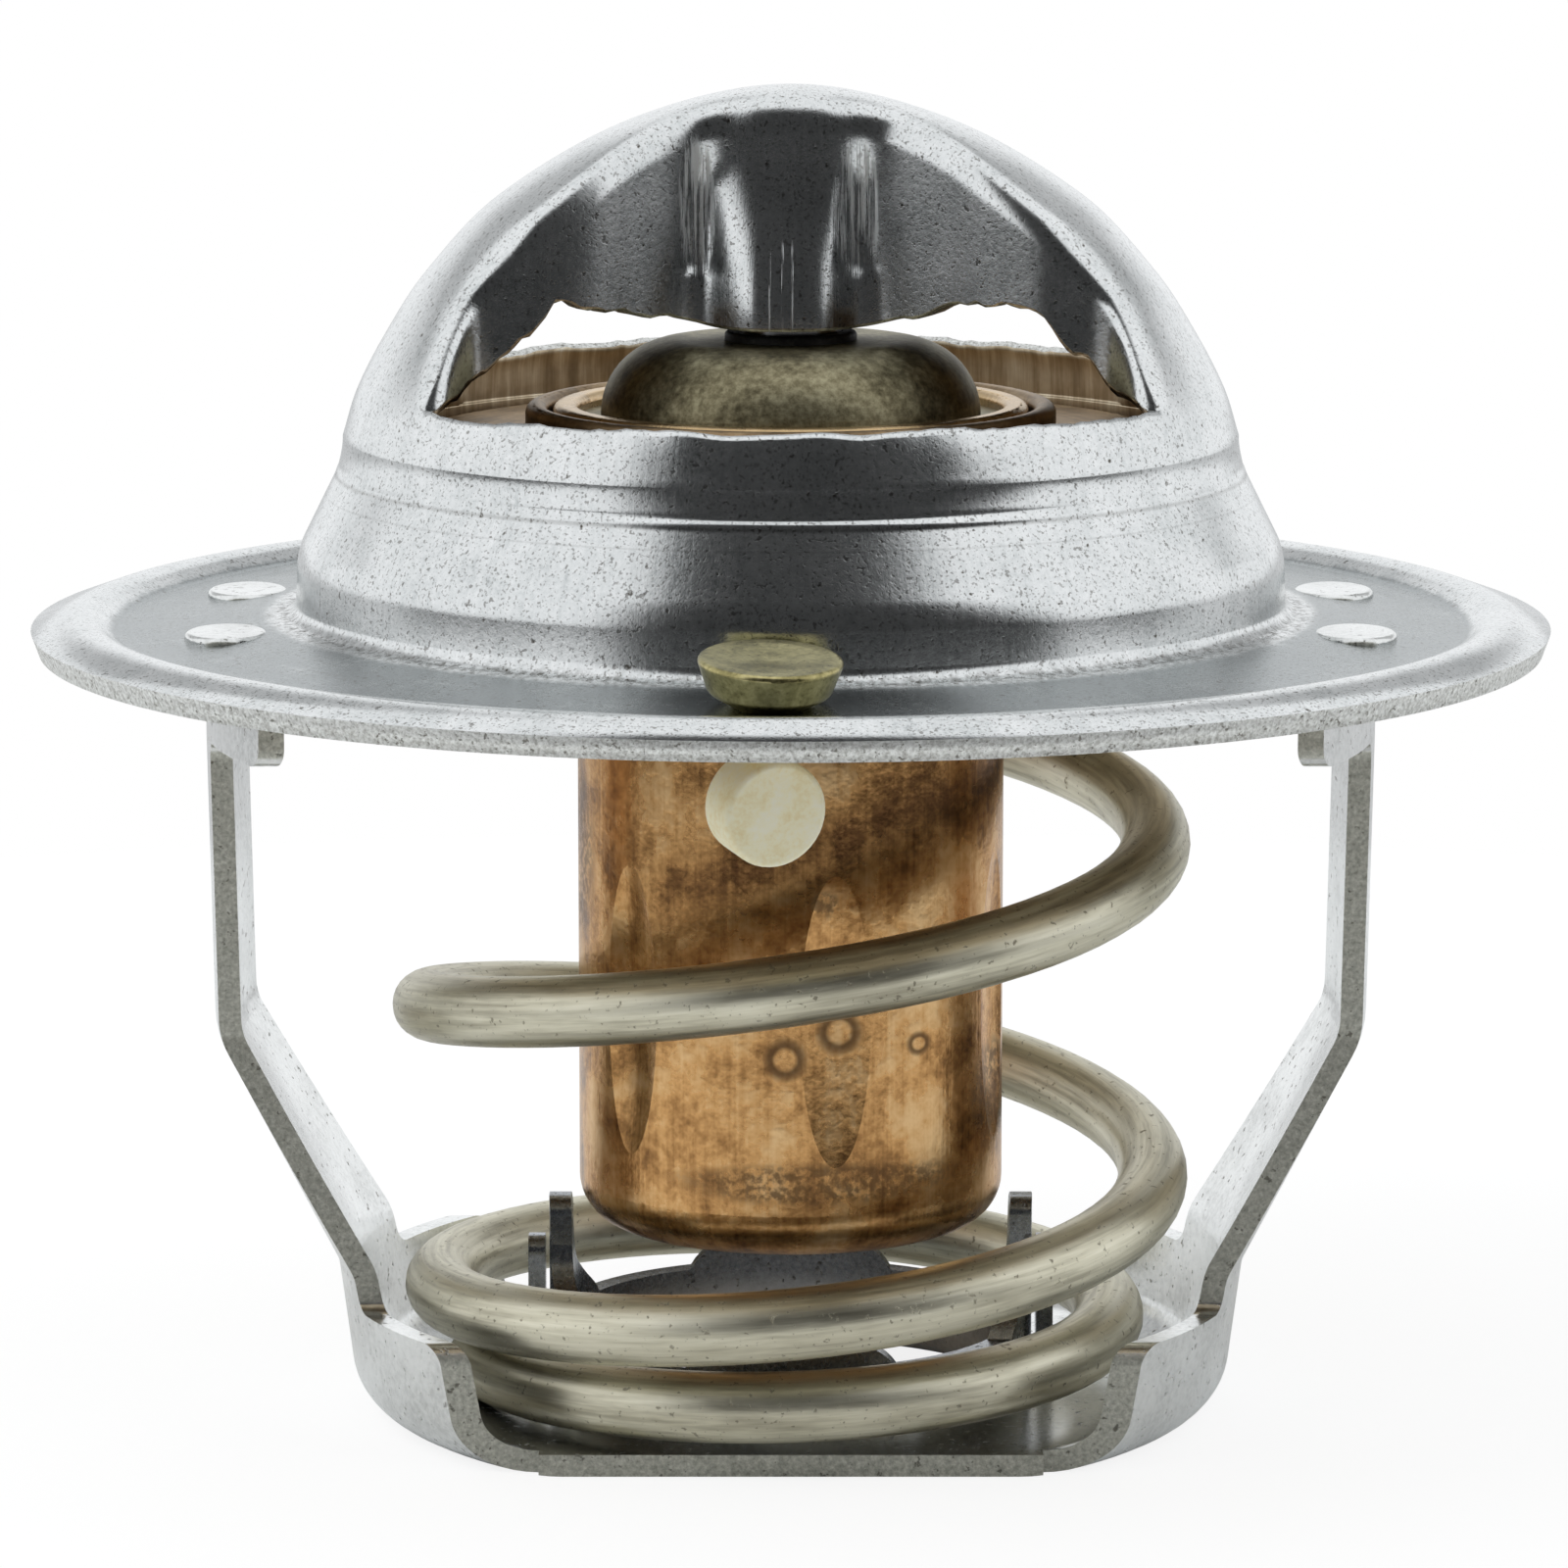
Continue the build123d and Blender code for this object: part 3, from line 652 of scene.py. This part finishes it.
# %% A socket that can be added and multiplied
class Signal:
    """A socket in a material. Sums and products of signals and numbers add Math nodes."""

    def __init__(self, finish, socket):
        self.finish = finish
        self.socket = socket

    def maths(self, operation, *others):
        values = [self, *others]
        return self.finish.node("ShaderNodeMath", {"operation": operation}, dict(enumerate(values)))

    def __add__(self, other):
        return self.maths("ADD", other)

    def __sub__(self, other):
        return self.maths("SUBTRACT", other)

    def __mul__(self, other):
        return self.maths("MULTIPLY", other)

    def __truediv__(self, other):
        return self.maths("DIVIDE", other)

    def __rsub__(self, other):
        return (self * -1) + other

    __radd__ = __add__
    __rmul__ = __mul__

    def step(self, low, high):
        """0 below low, 1 above high and a smooth rise between, or a fall if low is above high."""
        made = self.finish.node(
            "ShaderNodeMapRange",
            {"interpolation_type": "SMOOTHSTEP"},
            {"Value": self, "From Min": min(low, high), "From Max": max(low, high)},
        )
        return made if low < high else 1 - made


# %% A node tree under construction
class Finish:
    """A material's node tree, or the world's."""

    def __init__(self, owner):
        self.owner = owner
        owner.use_nodes = True
        self.tree = owner.node_tree
        self.tree.nodes.clear()

    def node(self, kind, settings=None, sockets=None, take=None):
        """One node: its settings first, then the values or links of its sockets. Gives one output."""
        made = self.tree.nodes.new(kind)
        for key, value in (settings or {}).items():
            if key == "stops":
                self.set_stops(made.color_ramp, value)
            else:
                setattr(made, key, value)
        for key, value in (sockets or {}).items():
            socket = self.pick(made.inputs, key)
            if isinstance(value, Signal):
                self.tree.links.new(value.socket, socket)
            else:
                socket.default_value = value
        if not made.outputs:
            return made
        return Signal(self, self.pick(made.outputs, take or 0))

    def pick(self, sockets, key):
        """A socket by its number, or the one in use that has this name."""
        if isinstance(key, int):
            return [socket for socket in sockets if socket.enabled][key]
        return next(socket for socket in sockets if socket.name == key and socket.enabled)

    def set_stops(self, ramp, stops):
        while len(ramp.elements) < len(stops):
            ramp.elements.new(1.0)
        for element, (place, colour) in zip(ramp.elements, stops):
            element.position = place
            element.color = (*colour, 1.0)

    def parts(self, vector):
        """The x, y and z of a vector as three signals."""
        return [self.node("ShaderNodeSeparateXYZ", None, {0: vector}, axis) for axis in "XYZ"]

    def joined(self, x, y, z):
        return self.node("ShaderNodeCombineXYZ", None, {"X": x, "Y": y, "Z": z})

    def colours(self, mask, low, high):
        """A colour that goes from low to high as the mask goes from 0 to 1."""
        sockets = {"Factor": mask, "A": low, "B": high}
        return self.node("ShaderNodeMix", {"data_type": "RGBA"}, sockets, "Result")

# %% [markdown]
# Polished metal has no colour of its own to speak of: it shows the room. This
# room is a white tent. The side towards the camera is dark, because the camera
# looks in through an opening, and so is the floor beyond the table. That gives
# the sheet its dark middle and bright flanks. Boards and curtains could be built
# round the object, but the world can make them from the direction of a ray,
# without a mesh, and stay plain white where the camera looks at it.

# %% The tent
studio = bpy.data.worlds.new("studio")
bpy.context.scene.world = studio
tent = Finish(studio)
# The opening's sides and top, and the width of their soft edges, in degrees.
CARD_LEFT, CARD_RIGHT, CARD_TOP = 42, 64, 62
SOFT_SIDE, SOFT_TOP = 8, 10
direction = tent.node("ShaderNodeTexCoord", None, None, "Generated")
east, north, height = tent.parts(direction)
turn = east.maths("ARCTAN2", north * -1) * math.degrees(1)
climb = height.maths("ARCSINE") * math.degrees(1)
# The opening narrows as it climbs, more on the right.
inside_right = (turn + climb * 0.7 - CARD_RIGHT).step(SOFT_SIDE, -SOFT_SIDE)
inside_left = (turn * -1 + climb * 0.15 - CARD_LEFT).step(SOFT_SIDE, -SOFT_SIDE)
card = inside_right * inside_left * climb.step(CARD_TOP + SOFT_TOP, CARD_TOP - SOFT_TOP)
# Behind the object there are two dimmer panels, and the floor is brighter to the sides.
aside = turn.maths("ABSOLUTE")
gap = aside.step(118, 132) * aside.step(172, 158) * climb.step(8, 20) * climb.step(62, 48)
floor = climb.step(0, -4) * (1 - aside.step(85, 110) * 0.6)
dark = card.maths("MAXIMUM", floor).maths("MAXIMUM", gap * 0.5)
FULL_GLARE, SHADE = 1.03, 0.985
glare = FULL_GLARE - dark * SHADE
room = tent.node("ShaderNodeBackground", None, {"Color": (0.97, 0.985, 1.0, 1), "Strength": glare})
paper = tent.node("ShaderNodeBackground", None, {"Color": (1, 1, 1, 1), "Strength": 1.0})
seen = tent.node("ShaderNodeLightPath", None, None, "Is Camera Ray")
mixed = tent.node("ShaderNodeMixShader", None, {0: seen, 1: room, 2: paper})
tent.node("ShaderNodeOutputWorld", None, {"Surface": mixed})
bpy.context.scene.view_settings.view_transform = "Standard"
print("tent nodes:", len(studio.node_tree.nodes))

# %% [markdown]
# The tent lights everything alike, so shadows have no direction. Two lamps give
# them one. They are large, which keeps the shadows soft, and they are hidden
# from reflections, because a square lamp would show as a bright tile in the
# metal.

# %% Two soft lamps
AIM_HEIGHT = 24


def soft_lamp(name, place, size, watts):
    """A square lamp that looks at the middle of the object and isn't mirrored in the metal."""
    data = bpy.data.lights.new(name, "AREA")
    data.energy = watts
    data.size = size * MM
    lamp = bpy.data.objects.new(name, data)
    bpy.context.scene.collection.objects.link(lamp)
    lamp.location = Vector(place) * MM
    aim = Vector((0, 0, AIM_HEIGHT)) * MM - lamp.location
    lamp.rotation_euler = aim.to_track_quat("-Z", "Y").to_euler()
    lamp.visible_glossy = False
    print(name, "shines with", watts, "W")


soft_lamp("key_lamp", (-190, -90, 260), 190, 0.30)
soft_lamp("fill_lamp", (230, -120, 150), 150, 0.10)

# %% [markdown]
# The object stands on a pale table. A plain matt disc would look grey beside the
# white tent. Mixed with some light of its own, for the camera's eye only, it
# fades into the white and still holds a faint shadow.

# %% The table
TABLE_RADIUS = 118
table = bmesh.new()
bmesh.ops.create_circle(table, cap_ends=True, radius=TABLE_RADIUS * MM, segments=96)
table_data = bpy.data.meshes.new("table")
table.to_mesh(table_data)
table.free()
table_top = bpy.data.objects.new("table", table_data)
bpy.context.scene.collection.objects.link(table_top)
paper_table = Finish(bpy.data.materials.new("pale_table"))
matt = paper_table.node("ShaderNodeBsdfDiffuse", None, {"Color": (0.86, 0.87, 0.87, 1)})
glow = paper_table.node("ShaderNodeEmission", None, {"Color": (1, 1, 1, 1), "Strength": 1.06})
rays = paper_table.node("ShaderNodeLightPath", None, None, "Is Camera Ray")
surface = paper_table.node("ShaderNodeMixShader", None, {0: rays * 0.8, 1: matt, 2: glow})
paper_table.node("ShaderNodeOutputMaterial", None, {"Surface": surface})
table_data.materials.append(paper_table.owner)
print("table radius in mm:", TABLE_RADIUS)

# %% [markdown]
# ## Finishes
#
# Each finish is built from masks that read the place on the object in mm, so
# its grain has a real size. Colour, roughness and bump share the masks. Painted
# pictures could do the same, but they need a map of every piece, and they blur
# when seen close up.


# %% What every finish needs
class Metal(Finish):
    """A material with one Principled shader, and places measured in mm."""

    def __init__(self, name, roughness=0.3, metallic=1.0):
        super().__init__(bpy.data.materials.new(name))
        self.shader = self.tree.nodes.new("ShaderNodeBsdfPrincipled")
        self.shader.inputs["Metallic"].default_value = metallic
        self.shader.inputs["Roughness"].default_value = roughness
        output = self.tree.nodes.new("ShaderNodeOutputMaterial")
        self.tree.links.new(self.shader.outputs[0], output.inputs["Surface"])
        object_place = self.node("ShaderNodeTexCoord", None, None, "Object")
        self.place = self.node("ShaderNodeMapping", None, {"Vector": object_place, "Scale": (1000,) * 3})
        self.x, self.y, self.z = self.parts(self.place)
        square = self.x * self.x + self.y * self.y
        self.radius = square.maths("SQRT")

    def set(self, **sockets):
        for name, value in sockets.items():
            socket = self.shader.inputs[name.replace("_", " ").title()]
            if isinstance(value, Signal):
                self.tree.links.new(value.socket, socket)
            else:
                socket.default_value = value

    def grain(self, scale, detail=3, roughness=0.6, at=None):
        """Fine noise from 0 to 1, with so many features to the mm."""
        where = at or self.place
        settings = {"Vector": where, "Scale": scale, "Detail": detail, "Roughness": roughness}
        return self.node("ShaderNodeTexNoise", None, settings)

    def facing(self, axis):
        """How squarely the surface faces along an axis, from 0 to 1."""
        normal = self.node("ShaderNodeTexCoord", None, None, "Normal")
        return self.parts(normal)["XYZ".index(axis)].maths("ABSOLUTE")

    def around(self, turning, rising):
        """A place on a roll: so many features to the mm round the axis, at 15 mm, and up or out."""
        safe = self.radius.maths("MAXIMUM", 0.5)
        reach = 15 * turning
        return self.joined(self.x / safe * reach, self.y / safe * reach, (self.z + self.radius) * rising)

    def upright(self, across, along):
        """A place for streaks down the sheet; across and along are features to the mm."""
        return self.around(across, along)

    def circular(self, across, along):
        """A place for lines round the axis, as a lathe leaves them."""
        return self.around(along, across)

    def near(self, place, middle, width):
        """1 where the place is at the middle, falling smoothly to 0 a width away."""
        return (place - middle).maths("ABSOLUTE").step(width, 0)

    def spot(self, x, z, wide, tall):
        """A soft oval mark seen from the front, with its middle at x and z."""
        across = (self.x - x) * (1 / wide)
        up = (self.z - z) * (1 / tall)
        return (across * across + up * up).step(1.0, 0.3) * self.y.step(0, -0.5)

    def bump(self, height, depth):
        """Bends the normal as if the surface rose by depth mm where height is 1."""
        self.set(normal=self.node("ShaderNodeBump", None, {"Height": height, "Distance": depth * MM}))

    def tint(self, mask, *stops):
        """A colour from a ramp of (mask, (r, g, b)) stops."""
        return self.node("ShaderNodeValToRGB", {"stops": list(stops)}, {"Fac": mask}, "Color")


def paint(piece, *finishes):
    """Puts finishes in a piece's material slots."""
    piece.data.materials.clear()
    for finish in finishes:
        piece.data.materials.append(finish.owner)
    print(piece.name, "wears", ", ".join(finish.owner.name for finish in finishes))


def built(finish):
    """Says how many nodes a finish has, and gives it back."""
    print(finish.owner.name, "has", len(finish.tree.nodes), "nodes")
    return finish


# %% [markdown]
# ### The crown's steel
#
# Outside, the sheet is bright and pitted like orange peel, with faint lines down
# it from the drawing die. The flat of the flange is greyer, with faint lines
# round it. Inside, the sheet is browned, as steel in hot coolant gets. One
# finish could hold all of that behind masks, but Solidify can give the outside,
# the inside and the cut edge a finish each, which keeps every one simple.


# %% Bright steel outside
# Where the nose is scored: x, z, width and height of patches, and x of lines.
TOOL_MARKS = [(-3.3, 43.5, 0.75, 2.9), (2.3, 43.5, 0.95, 2.7)]
SCRATCHES = [-0.75, -0.3, 0.05]
# Dark colour of the pits, of the patches round the crown's foot, and of the painted shade under the die
# lines.
DARK_PATCH_AND_SHADE = (0.10, 0.09, 0.075, 1)


def pressed_steel():
    """Bright outside, greyer on the flat of the flange, darker in patches round the crown's foot, and with
    painted shade under the die lines.
    """
    steel = Metal("bright_drawn_steel")
    peel = steel.grain(5.0, 4, 0.65)
    patches = steel.grain(0.45, 2, 0.5)
    pits = steel.grain(9.0, 2, 0.5).step(0.42, 0.34)
    few = steel.grain(4.2, 2, 0.5).step(0.36, 0.30)
    draw = steel.grain(1.0, 3, 0.6, steel.upright(4.0, 0.12))
    turned = steel.grain(1.0, 3, 0.6, steel.circular(5.0, 0.15))
    low = steel.z.step(29.4, 28.9)
    flat = steel.radius.step(18.3, 19.0) * steel.radius.step(24.4, 24.0) * low
    # Darker and rougher in patches in the corner at the crown's foot.
    foot = steel.near(steel.radius, 18.0, 0.9) * low * steel.grain(3.0, 3, 0.7).step(0.42, 0.62)
    # Painted shade: thin dark lines just under the die lines on the neck.
    line = steel.near(steel.z, 33.95, 0.12) + steel.near(steel.z, 33.25, 0.06) * 0.5
    on_neck = steel.radius.step(15.2, 15.6)
    dark_marks_and_painted_shade = (foot * 0.7 + line * on_neck * 0.3 + pits * 0.5 + few * 0.6).maths("MINIMUM", 1.0)
    relief = peel * 0.45 + patches * 0.35 + draw * 0.25 - flat * 0.5 + flat * turned * 0.25
    tone = relief.step(0.12, 0.78)
    unmarked_steel = steel.tint(
        tone,
        (0.0, (0.30, 0.325, 0.33)),
        (0.5, (0.66, 0.68, 0.68)),
        (1.0, (0.84, 0.85, 0.85)),
    )
    hatch = steel.joined(steel.x * 9.0, steel.y * 0.2, steel.z * 0.35)
    scratched = steel.grain(1.0, 2, 0.7, hatch).step(0.42, 0.66)
    on_nose = steel.z.step(42.6, 42.0) * steel.z.step(38.0, 38.5)
    tool = 0
    for mark in TOOL_MARKS:
        tool = steel.spot(*mark) + tool
    for x in SCRATCHES:
        tool = steel.near(steel.x, x, 0.06) * on_nose + tool
    scored = (tool * scratched).maths("MINIMUM", 1.0)
    skin = steel.colours(dark_marks_and_painted_shade, unmarked_steel, DARK_PATCH_AND_SHADE)
    steel.set(base_color=steel.colours(scored, skin, (0.9, 0.92, 0.92, 1)))
    steel.set(roughness=0.12 + peel * 0.08 + flat * 0.08 + foot * 0.2 + patches * 0.05 + scored * 0.4)
    marks = pits * 0.12 + few * 0.2 + scored * 1.5
    steel.bump(peel * 0.5 + draw * 0.3 + turned * flat * 0.4 - marks, 0.010)
    return steel


bright = built(pressed_steel())


# %% Browned steel inside
def browned_steel():
    """The inside of the crown, brown and streaked from top to bottom."""
    steel = Metal("browned_steel")
    streaks = steel.grain(1.0, 4, 0.65, steel.upright(1.6, 0.10))
    fine = steel.grain(1.0, 3, 0.6, steel.upright(5.0, 0.5))
    blotch = steel.grain(0.5, 4, 0.6)
    tone = (streaks * 0.6 + fine * 0.2 + blotch * 0.4 - 0.1).step(0.25, 0.75)
    stain = steel.tint(
        tone,
        (0.0, (0.26, 0.20, 0.13)),
        (0.45, (0.52, 0.42, 0.29)),
        (0.8, (0.76, 0.67, 0.51)),
        (1.0, (0.90, 0.85, 0.74)),
    )
    steel.set(base_color=stain, roughness=0.32 + blotch * 0.18)
    steel.bump(streaks * 0.6 + fine * 0.3, 0.012)
    return steel


browned = built(browned_steel())


# %% A torn edge, and the crown dressed
def sheared_steel():
    """The crown's cut edge: torn along the sheet, so it scatters light."""
    steel = Metal("torn_crown_edge")
    torn = steel.grain(7.0, 4, 0.7)
    specks = steel.grain(5.0, 3, 0.6).step(0.40, 0.30)
    tone = (torn - specks * 0.5).step(0.15, 0.7)
    steel.set(base_color=steel.colours(tone, (0.30, 0.29, 0.26, 1), (0.95, 0.96, 0.94, 1)))
    steel.set(roughness=0.5 + torn * 0.2)
    steel.bump(torn - specks, 0.02)
    return steel


paint(crown_piece, bright, browned, built(sheared_steel()))


# %% [markdown]
# ### The frame, the piston and the spring
#
# The frame is one strip of bright sheet, and its cut edges are grey and torn.
# The edges could be picked out face by face, but all of them look along Y, so a
# mask on the normal finds them. The spring's wire is satin, with a warm bloom
# and fine lines along it, and reads its place from the unrolled map.


# %% Strip for the frame
nodes = frame["nodes"]


def strip_steel():
    """Bright faces, grey cut edges, and dull fingers round the guide."""
    steel = Metal("frame_steel")
    peel = steel.grain(4.0, 4, 0.65)
    patches = steel.grain(0.35, 3, 0.5)
    torn = steel.grain(6.0, 4, 0.7)
    cut = steel.facing("Y").step(0.80, 0.93) * steel.radius.step(9.9, 10.4)
    fingers = steel.radius.step(9.9, 9.5) * steel.z.step(1.6, 3.0) * steel.z.step(20, 18)
    specks = steel.grain(3.2, 3, 0.6).step(0.38, 0.30)
    tone = (peel * 0.5 + patches * 0.5).step(0.2, 0.75)
    face = steel.tint(
        tone,
        (0.0, (0.52, 0.53, 0.52)),
        (0.6, (0.80, 0.81, 0.80)),
        (1.0, (0.90, 0.91, 0.90)),
    )
    edge = steel.tint(
        torn,
        (0.25, (0.30, 0.30, 0.26)),
        (0.6, (0.62, 0.62, 0.56)),
        (0.8, (0.80, 0.80, 0.74)),
    )
    dull = steel.tint(torn, (0.2, (0.20, 0.21, 0.23)), (0.7, (0.46, 0.49, 0.53)))
    colour = steel.colours(cut, face, edge)
    colour = steel.colours(fingers, colour, dull)
    steel.set(base_color=steel.colours(specks * 0.6, colour, (0.12, 0.11, 0.09, 1)))
    steel.set(roughness=0.15 + peel * 0.12 + cut * 0.38 + fingers * 0.06 + specks * 0.2)
    steel.bump(peel * 0.4 + torn * cut * 1.5 - specks * 0.6, 0.012)
    return steel


paint(nodes["lower_frame"], built(strip_steel()))


# %% A ground pin for the piston
def ground_steel():
    """A ground pin with faint rings round it."""
    steel = Metal("piston_steel")
    rings = steel.grain(1.0, 2, 0.5, steel.circular(9.0, 0.1))
    steel.set(base_color=steel.colours(rings, (0.55, 0.55, 0.56, 1), (0.75, 0.75, 0.76, 1)))
    steel.set(roughness=0.12 + rings * 0.1)
    return steel


paint(nodes["piston"], built(ground_steel()))


# %% Satin wire for the spring
def spring_steel():
    """Satin wire with a warm bloom, and lines that follow the wire."""
    steel = Metal("spring_steel")
    unrolled_place = steel.node("ShaderNodeUVMap", {"uv_map": "unrolled"}, None, "UV")
    round_wire, along_wire, _ = steel.parts(unrolled_place)
    turn = round_wire * math.tau
    sides = (turn.maths("COSINE"), turn.maths("SINE"))
    lines = steel.grain(1.0, 3, 0.6, steel.joined(sides[0] * 6, sides[1] * 6, along_wire * 90))
    bloom = steel.grain(1.0, 4, 0.6, steel.joined(sides[0] * 0.8, sides[1] * 0.8, along_wire * 60))
    specks = steel.grain(4.0, 3, 0.6).step(0.38, 0.31)
    tone = (lines * 0.5 + bloom * 0.6).step(0.3, 0.8)
    wire = steel.tint(
        tone,
        (0.0, (0.36, 0.335, 0.255)),
        (0.5, (0.64, 0.61, 0.48)),
        (1.0, (0.82, 0.79, 0.65)),
    )
    steel.set(base_color=steel.colours(specks * 0.5, wire, (0.13, 0.11, 0.08, 1)))
    steel.set(roughness=0.33 + bloom * 0.12 + specks * 0.2)
    steel.bump(lines * 0.7 + bloom * 0.5 - specks * 0.5, 0.012)
    return steel


paint(spring, built(spring_steel()))

# %% [markdown]
# ### Copper, brass and rubber
#
# The cup is the warmest colour: copper mottled with brown, with streaks that run
# down it and rings like those of dried drops. Noise could make all of the
# mottling, but it never draws a ring, so the rings and the larger stains are
# placed one by one. Two dark bands are placed too, as painted reflections: one
# of the spring's coil slanting across the front, and a tall one on the left.

# %% Mottled copper for the cup
# Stains, and one painted reflection: middle x, middle z, and size in mm.
RINGS = [(1.7, 15.0, 0.95), (-0.2, 14.1, 0.9), (4.5, 14.4, 0.5)]
SPOTS = [
    (1.2, 19.6, 0.6, 0.55),
    (-1.6, 15.9, 0.9, 0.5),
    # A tall dark band on the left is a painted reflection, not a stain.
    (-7.9, 20.5, 1.1, 4.5),
    (7.2, 12.0, 1.0, 2.0),
    (1.0, 9.6, 6.0, 0.9),
]


def mottled_copper():
    """Drawn copper with brown mottling, running streaks, rings of dried drops, and two painted reflections.
    """
    copper = Metal("mottled_copper")
    wide = copper.grain(0.42, 4, 0.62)
    fine = copper.grain(3.5, 4, 0.65)
    streaks = copper.grain(1.0, 4, 0.62, copper.upright(1.1, 0.09))
    hair = copper.grain(1.0, 3, 0.6, copper.upright(4.0, 0.16))
    # A painted reflection of the spring's coil: a dark band that slants up the front.
    slant = copper.near(copper.z - copper.x * 0.31, 21.4, 2.0)
    shade = slant * copper.x.step(-6.0, -3.5) * copper.y.step(0, -2)
    mottle = wide * 0.72 + streaks * 0.22 + fine * 0.26 + hair * 0.1
    tone = (mottle - shade * wide * 0.3).step(0.42, 0.84)
    skin = copper.tint(
        tone,
        (0.0, (0.15, 0.072, 0.03)),
        (0.3, (0.42, 0.22, 0.082)),
        (0.6, (0.66, 0.37, 0.145)),
        (1.0, (0.84, 0.56, 0.28)),
    )
    marks = 0
    for x, z, size in RINGS:
        halo = copper.spot(x, z, size, size) - copper.spot(x, z, 0.55 * size, 0.55 * size)
        marks = halo * 0.8 + marks
    for x, z, wide_mark, tall_mark in SPOTS:
        marks = copper.spot(x, z, wide_mark, tall_mark) * fine.step(0.35, 0.6) * 0.7 + marks
    marks = marks.maths("MINIMUM", 1.0)
    rim = copper.z.step(34.0, 34.5)
    colour = copper.colours(marks, skin, (0.10, 0.055, 0.03, 1))
    colour = copper.colours(rim * 0.6, colour, (0.62, 0.50, 0.30, 1))
    copper.set(base_color=colour)
    copper.set(roughness=0.19 + wide * 0.16 + marks * 0.15)
    copper.bump(wide * 2.0 + streaks * 0.4 + fine * 0.2 + hair * 0.15, 0.03)
    return copper


paint(nodes["wax_cup"], built(mottled_copper()))


# %% Olive brass for the cover
def cover_brass():
    """Olive brass, rough and flecked, with the lathe's lines."""
    brass = Metal("cover_brass")
    flecks = brass.grain(3.5, 4, 0.7)
    broad = brass.grain(0.7, 3, 0.6)
    lathe = brass.grain(1.0, 2, 0.5, brass.circular(7.0, 0.2))
    tone = (flecks * 0.6 + broad * 0.4 + lathe * 0.15).step(0.3, 0.85)
    skin = brass.tint(
        tone,
        (0.0, (0.055, 0.045, 0.025)),
        (0.5, (0.26, 0.23, 0.14)),
        (1.0, (0.52, 0.48, 0.32)),
    )
    brass.set(base_color=skin, roughness=0.36 + flecks * 0.2)
    brass.bump(flecks * 0.6 + lathe * 0.5, 0.02)
    return brass


paint(nodes["brass_cover"], built(cover_brass()))


# %% Brown brass for the valve plate
def plate_brass():
    """Dull brown pressed brass."""
    brass = Metal("plate_brass")
    lathe = brass.grain(1.0, 3, 0.6, brass.circular(4.0, 0.15))
    broad = brass.grain(0.6, 4, 0.65)
    fine = brass.grain(5.0, 3, 0.6)
    tone = (lathe * 0.4 + broad * 0.5 + fine * 0.25).step(0.3, 0.85)
    skin = brass.tint(
        tone,
        (0.0, (0.10, 0.065, 0.035)),
        (0.6, (0.36, 0.25, 0.14)),
        (1.0, (0.58, 0.45, 0.29)),
    )
    brass.set(base_color=skin, roughness=0.33 + broad * 0.15)
    brass.bump(lathe * 0.4 + fine * 0.3, 0.015)
    return brass


paint(nodes["valve_plate"], built(plate_brass()))


# %% Yellow brass for the jiggle pin
def rivet_brass():
    """Yellow brass: a dark turned head, and a weight with pale, nearly matt milled faces, painted lighter as
    painted light in its shade.
    """
    brass = Metal("rivet_brass")
    broad = brass.grain(1.1, 3, 0.6)
    fine = brass.grain(6.0, 3, 0.6)
    below = brass.z.step(28.4, 27.9)
    tone = (broad * 0.6 + fine * 0.4).step(0.25, 0.75)
    head = brass.tint(
        tone,
        (0.0, (0.16, 0.14, 0.055)),
        (0.5, (0.42, 0.37, 0.17)),
        (1.0, (0.66, 0.59, 0.30)),
    )
    # Pale brass of the milled faces, painted lighter than it is, as painted light on a weight that sits in
    # shade.
    milled = brass.tint(
        tone,
        (0.0, (0.90, 0.78, 0.45)),
        (0.5, (0.99, 0.94, 0.68)),
        (1.0, (1.0, 0.98, 0.82)),
    )
    brass.set(base_color=brass.colours(below, head, milled))
    brass.set(roughness=0.24 + fine * 0.1 + below * 0.38, metallic=1 - below * 0.85)
    brass.bump(broad * 0.8 + fine * 0.4, 0.015)
    return brass


paint(nodes["jiggle_pin"], built(rivet_brass()))


# %% Rubber and wax
def black_rubber():
    """Matt black rubber with a little dust."""
    rubber = Metal("black_rubber", 0.6, 0.0)
    dust = rubber.grain(4.0, 3, 0.6).step(0.4, 0.8)
    rubber.set(base_color=rubber.colours(dust, (0.012, 0.012, 0.012, 1), (0.05, 0.048, 0.044, 1)))
    return rubber


def dull_wax():
    """Pale wax, hidden inside the cup."""
    wax = Metal("dull_wax", 0.5, 0.0)
    cloud = wax.grain(0.8, 3, 0.6)
    wax.set(base_color=wax.colours(cloud, (0.62, 0.52, 0.33, 1), (0.82, 0.74, 0.55, 1)))
    return wax


rubber = built(black_rubber())
paint(nodes["gland_ring"], rubber)
paint(nodes["rubber_sleeve"], rubber)
paint(nodes["wax_charge"], built(dull_wax()))
